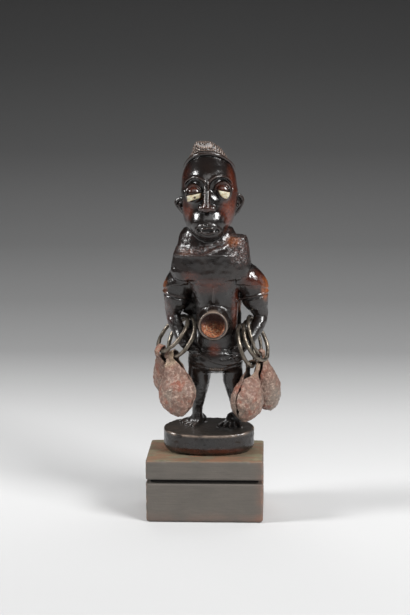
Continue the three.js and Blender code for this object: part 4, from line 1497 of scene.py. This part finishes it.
def oiled_hardwood():
    material, tree = new_material("oiled_smoked_hardwood")
    fibres = patches(tree, 1.1, 0.35, 0.7, (1, 1, 14), 3.0)
    cloudy = patches(tree, 14, 0.38, 0.66, seed=9.0)
    blotch = patches(tree, 7, 0.32, 0.56, seed=17.0)
    flecks = patches(tree, 1.3, 0.54, 0.66, seed=23.0)
    grains = patches(tree, 0.8, 0.4, 0.6, seed=31.0, detail=2.0)
    lumps = patches(tree, 1.6, 0.42, 0.58, seed=37.0, detail=2.0)
    rubbed, painted_cut_shade, crust, earth = all_kept(tree, "rubbed", "painted_cut_shade", "crust", "earth")
    red, ochre, lit_lower_charge, hatched = all_kept(tree, "red_wear", "ochre_wear", "lit_lower_charge", "hatched")
    sleek, edge, painted_top_sheen = all_kept(tree, "sleek", "edge", "painted_top_sheen")
    glossy, knobs = patches(tree, 5, 0.4, 0.6, seed=51.0), knobs_between_grooves(tree)
    colour, roughness = coated(tree, "120e0d", 0.34, [
        ("0f0b0a", 0.22, glossy, 0.8),
        ("0f0b0a", 0.17, sleek),
        ("1e140f", 0.28, cloudy, 0.7),
        ("0b0808", 0.3, fibres, 0.2),
        ("3e160b", 0.27, red, blotch, 0.9),
        ("6a2c12", 0.3, red, cloudy, 0.45),
        ("8a4420", 0.34, red, flecks, 0.3),
        # painted sheen on the footing's top
        ("35302c", 0.3, painted_top_sheen, 0.8),
        ("8a4a20", 0.38, ochre, blotch, 1.0),
        ("3c2a22", 0.3, rubbed, 0.4),
        # pale edges: partly rubbed wear, partly painted highlight on the cup's lip and stub, the footing's
        # edge and the hem
        ("8c7a6c", 0.3, edge, 0.75),
        ("140e0c", 0.3, hatched, 0.9),
        # painted highlight: the knobs between the crown's grooves are paler
        ("8a766a", 0.32, knobs, hatched, 0.85),
        ("1c1512", 0.36, crust, 0.8),
        ("46241a", 0.42, crust, lumps, 0.7),
        ("96542a", 0.5, crust, ochre, grains, 1.2),
        ("0c0908", 0.2, crust, flecks, 0.8),
        # painted shade in the cuts
        ("060404", 0.5, painted_cut_shade, 0.8),
        ("2a0f0b", 0.6, earth, 1.0),
        # the cup's lower half is lighter and orange: the charge's own grains, brightened as painted light
        ("7c3a20", 0.75, lit_lower_charge, lumps, 1.0),
        ("b06a40", 0.7, lit_lower_charge, grains, 0.9),
        ("d8b890", 0.7, lit_lower_charge, flecks, 0.7),
    ])
    normal = bumped(tree, [
        (0.12, patches(tree, 5, 0.3, 0.7, seed=41.0)),
        (0.03, patches(tree, 2, 0.3, 0.7, (1, 1, 2), 43.0)),
        (0.015, fibres),
        (0.12, crust, grains),
        (0.2, earth, grains),
    ])
    smooth = product(tree, sleek, 0.75)
    roughness = node(tree, "ShaderNodeMix", {0: smooth, 2: roughness, 3: 0.17}).outputs[0]
    finish_material(tree, colour, roughness, normal, IOR=1.55, Coat_Weight=0.3, Coat_Roughness=0.2)
    return material


coat_piece(figure, oiled_hardwood())

# %% [markdown]
# ## Stained and waxed block
#
# A cheap close-grained wood under a thin grey-brown stain, waxed matt. The stain has worn through on the
# top and along the right-hand edges, where it shows ochre, a little green and brick red. Its grain runs
# level.

# %% Material: stained and waxed wood
def block_marks(points):
    x, y, z = points.T
    top = step((z - HEIGHT + 0.6) / 0.5)
    right = step((x - 30) / 8)
    low = step((9 - z) / 9)
    edge = np.maximum(ridge(HEIGHT - z, 0.7), ridge(HALF_WIDTH - np.abs(x), 0.9) * 0.8)
    below_wall = (HALF_DEPTH - 0.4 - np.abs(y)) * (HALF_WIDTH - 0.4 - np.abs(x))
    # the groove's faces, painted near black as shade
    groove = between(z, GROOVE_LOW - 0.1, GROOVE_HIGH + 0.1, 0.2) * step(below_wall + 0.5)
    red = np.clip(right * (0.35 + 0.65 * low) + 0.25 * low, 0, 1) * (1 - top)
    return {"top": top, "worn_edge": edge * (1 - groove), "red_edge": red, "painted_groove_shade": groove}


def stained_wood():
    material, tree = new_material("stained_waxed_wood")
    grain = patches(tree, 0.9, 0.35, 0.68, (22, 3, 1), 5.0)
    cloudy = patches(tree, 16, 0.4, 0.64, (1.6, 1, 1), 2.0)
    streaks = patches(tree, 6, 0.46, 0.62, (3, 1, 1), 12.0)
    scuffs = patches(tree, 2.2, 0.5, 0.66, (2, 1, 1), 19.0)
    top, edge, red, groove = all_kept(tree, "top", "worn_edge", "red_edge", "painted_groove_shade")
    colour, roughness = coated(tree, "5b5650", 0.55, [
        ("68615a", 0.52, cloudy, 0.6),
        ("4b4642", 0.6, grain, 0.25),
        ("7a5546", 0.58, red, cloudy, 1.2),
        ("785a4c", 0.6, red, streaks, 0.8),
        ("6e6352", 0.5, top, 0.95),
        ("827a62", 0.5, top, cloudy, 0.9),
        ("6a4a38", 0.5, top, streaks, 0.95),
        ("5c5a4a", 0.52, top, scuffs, 0.8),
        ("80604c", 0.55, edge, streaks, 0.9),
        # painted shade in the saw groove
        ("0c0a09", 0.8, groove, 0.97),
    ])
    normal = bumped(tree, [(0.04, grain), (0.03, patches(tree, 1.4, 0.3, 0.7, seed=27.0))])
    finish_material(tree, colour, roughness, normal, IOR=1.48)
    return material


set_all(base, block_marks(points_of(base)))
coat_piece(base, stained_wood())

# %% [markdown]
# ## Iron: worn wire and rusted sheet
#
# The rings are dark forged wire, rubbed to a soft shine; their paler patches are partly worn metal and partly
# painted sheen. The bells are older sheet: dense red-brown rust over grey metal, pitted and crumbly, and
# painted near black inside as shade. Rust isn't a metal, so it is rough and has no metallic part.

# %% Materials: worn wire and rusted sheet
def worn_wire():
    material, tree = new_material("worn_forged_iron_wire")
    rust = patches(tree, 3, 0.5, 0.66, seed=4.0)
    wear_and_painted_sheen = patches(tree, 5, 0.4, 0.62, seed=14.0)
    pits = patches(tree, 0.8, 0.44, 0.66, seed=24.0, detail=3.0)
    colour, roughness = coated(tree, "645c52", 0.34, [
        # paler patches: partly worn metal, partly painted sheen
        ("a0978a", 0.26, wear_and_painted_sheen, 0.7),
        ("5f4a3c", 0.5, rust, 0.4),
        ("332b25", 0.5, pits, 0.35),
    ])
    metal = node(tree, "ShaderNodeMapRange", {0: rust, 3: 0.9, 4: 0.5}).outputs[0]
    normal = bumped(tree, [(0.08, patches(tree, 2.2, 0.3, 0.7, seed=34.0)), (0.03, pits)])
    finish_material(tree, colour, roughness, normal, Metallic=metal)
    return material


def rusted_sheet():
    material, tree = new_material("rusted_hammered_iron_sheet")
    scale = patches(tree, 9, 0.42, 0.58, seed=6.0)
    orange = patches(tree, 11, 0.5, 0.6, seed=16.0)
    bare = patches(tree, 8, 0.44, 0.58, (1, 1, 1.6), 26.0)
    crumbs = patches(tree, 1.3, 0.44, 0.64, seed=36.0, detail=3.0)
    pale = patches(tree, 2.2, 0.5, 0.66, seed=56.0, detail=3.0)
    inner, low, strap = all_kept(tree, "inner", "low", "strap")
    colour, roughness = coated(tree, "785c50", 0.48, [
        ("805e50", 0.5, scale, 0.8),
        ("864a36", 0.52, orange, 0.85),
        ("85796e", 0.4, low, bare, 0.9),
        ("97846e", 0.42, strap, bare, 0.9),
        ("b39c8c", 0.46, pale, 0.6),
        ("43302a", 0.6, crumbs, 0.35),
        # painted shade: the bell's inside is near black
        ("120c0a", 0.85, inner, 0.9),
    ])
    metal = node(tree, "ShaderNodeMapRange", {0: bare, 3: 0.0, 4: 0.4}).outputs[0]
    normal = bumped(tree, [(0.28, patches(tree, 2.6, 0.3, 0.7, seed=46.0)), (0.16, crumbs)])
    finish_material(tree, colour, roughness, normal, Metallic=metal)
    return material


wire, sheet = worn_wire(), rusted_sheet()
for ring in rings.values():
    coat_piece(ring, wire)
for bell in bells.values():
    coat_piece(bell, sheet)

# %% [markdown]
# ## Rubbed bone
#
# Old bone is a warm off-white, a little translucent, polished by rubbing, and stained brown along its
# edges and in its pores.

# %% Material: rubbed bone
def rubbed_bone():
    material, tree = new_material("rubbed_bone")
    stain = patches(tree, 2.2, 0.44, 0.6, seed=8.0)
    pores = patches(tree, 0.5, 0.56, 0.66, (1, 1, 3), 18.0)
    colour, roughness = coated(tree, "d2c5ac", 0.36, [
        ("a68c68", 0.45, stain, 0.8),
        ("7a6042", 0.5, pores, 0.5),
        ("5c4028", 0.5, kept(tree, "rim"), 0.9),
    ])
    normal = bumped(tree, [(0.05, patches(tree, 1.5, 0.3, 0.7, seed=28.0)), (0.02, pores)])
    finish_material(tree, colour, roughness, normal, IOR=1.54, Subsurface_Weight=0.15)
    return material


def rim_amount(name):
    """1 in the drilled hole and at the plate's edge, 0 between."""
    eye = EYES[name]
    u, v, hole = DRILLED[name]
    points = points_of(plates[name])
    across, _ = turned_in(eye, points[:, 0], points[:, 1])
    up = points[:, 2] - eye["z"]
    away = np.hypot(across - u, up - v)
    edge = outline_radius(eye["shape"], (u, v), np.arctan2(up - v, across - u))
    drilled = step((hole + 0.15 - away) / 0.25) if hole else 0 * away
    return np.maximum(step((away / edge - 0.8) / 0.2), drilled)


bone = rubbed_bone()
for name, plate in plates.items():
    set_values(plate, "rim", rim_amount(name))
    coat_piece(plate, bone)

# %% [markdown]
# ## Studio
#
# A pale table of paper that sweeps up into a backdrop without a corner; its colour falls off to grey with its
# height, painted light falloff.
# Large soft lights on both sides give the wood its broad highlights, and one above gives the soft shadow.

# %% Floor and backdrop
SWEEP_START, SWEEP_RADIUS, SWEEP_TOP = 1.1, 0.7, 2.0


def sweep():
    """A strip of paper: flat from the front, a quarter circle up, then upright."""
    flat = np.linspace(-1.6, SWEEP_START, 60)
    turn = np.linspace(0, math.pi / 2, 40)[1:]
    rise = np.linspace(SWEEP_RADIUS, SWEEP_TOP, 40)[1:]
    curve = SWEEP_START + SWEEP_RADIUS * np.sin(turn)
    y = np.concatenate([flat, curve, 0 * rise + SWEEP_START + SWEEP_RADIUS])
    z = np.concatenate([0 * flat, SWEEP_RADIUS * (1 - np.cos(turn)), rise])
    x = np.linspace(-2.4, 2.4, 30)
    points = np.stack(np.broadcast_arrays(x[None, :], y[:, None], z[:, None]), -1)
    i = np.arange(y.size * x.size).reshape(y.size, x.size)
    return points.reshape(-1, 3), grid_faces(i)


def paper():
    """Matt paper whose colour is painted light falloff: pale on the table and darker up the backdrop, by how
    far along the strip a point is.
    """
    material, tree = new_material("backdrop_paper_painted_falloff")
    where = node(tree, "ShaderNodeTexCoord").outputs["Object"]
    depth = node(tree, "ShaderNodeSeparateXYZ", {0: where})
    far = node(tree, "ShaderNodeMath", {0: depth.outputs[1], 1: depth.outputs[2]}, operation="ADD").outputs[0]
    share = node(tree, "ShaderNodeMapRange", {0: far, 1: PAPER_FROM, 2: PAPER_TO}).outputs[0]
    ramp = node(tree, "ShaderNodeValToRGB", {0: share})
    ends = ramp.color_ramp.elements
    for end, (place, colour) in zip(ends, (PAPER_FALLOFF_STOPS[0], PAPER_FALLOFF_STOPS[-1])):
        end.position, end.color = place, linear(colour)
    for place, colour in PAPER_FALLOFF_STOPS[1:-1]:
        ends.new(place).color = linear(colour)
    finish_material(tree, ramp.outputs[0], 0.9, (0, 0, 0), Specular_IOR_Level=0.1)
    return material


PAPER_FROM, PAPER_TO = -0.4, 2.2
# Painted light falloff: the paper's colour darkens up the backdrop in place of light that fades.
PAPER_FALLOFF_STOPS = [
    (0.0, "b6b6b6"), (0.1, "bebebe"), (0.17, "cbcbcb"), (0.24, "bcbcbc"), (0.28, "a9a9a9"), (0.33, "8f8f8f"),
    (0.43, "868686"), (0.57, "8b8b8b"), (0.68, "777777"), (0.76, "626262"), (0.88, "4e4e4e"), (1.0, "3e3e3e"),
]


def add_stage():
    points, faces = sweep()
    mesh = bpy.data.meshes.new("backdrop")
    mesh.from_pydata(points, [], faces.tolist())
    mesh.shade_smooth()
    backdrop = new_object("backdrop", mesh)
    coat_piece(backdrop, paper())


add_stage()

# %% Lights
# Rows are the place and the size in metres, and the watts.
LIGHTS = {
    "right_softbox": ((0.9, -0.64, 0.92), (0.56, 0.4), 22.0),
    "left_softbox": ((-1.12, -0.26, 0.86), (0.26, 0.42), 16.0),
    "front_softbox": ((0.1, -1.6, 1.25), (1.2, 0.7), 5.0),
    "top_softbox": ((0.1, 0.5, 1.2), (1.2, 0.5), 6.0),
    "back_right_softbox": ((1.2, 0.3, 0.42), (0.5, 0.4), 0.5),
}
LIT = (0, 0, 0.13)
WORLD_STRENGTH = 0.1


def add_light(name, place, size, watts):
    """A rectangular soft light that faces the figure."""
    data = bpy.data.lights.new(name, "AREA")
    data.shape, data.size, data.size_y, data.energy = "RECTANGLE", size[0], size[1], watts
    place = Vector(place)
    facing = (place - Vector(LIT)).to_track_quat("Z", "Y").to_matrix().to_4x4()
    new_object(name, data).matrix_world = Matrix.Translation(place) @ facing


def light_world():
    world = bpy.data.worlds.new("room")
    world.use_nodes = True
    world.node_tree.nodes["Background"].inputs[0].default_value = linear("f2f4f6")
    world.node_tree.nodes["Background"].inputs[1].default_value = WORLD_STRENGTH
    bpy.context.scene.world = world


for name, (place, size, watts) in LIGHTS.items():
    add_light(name, place, size, watts)
light_world()
bpy.context.scene.view_settings.view_transform = "Standard"
print("lights:", ", ".join(LIGHTS))
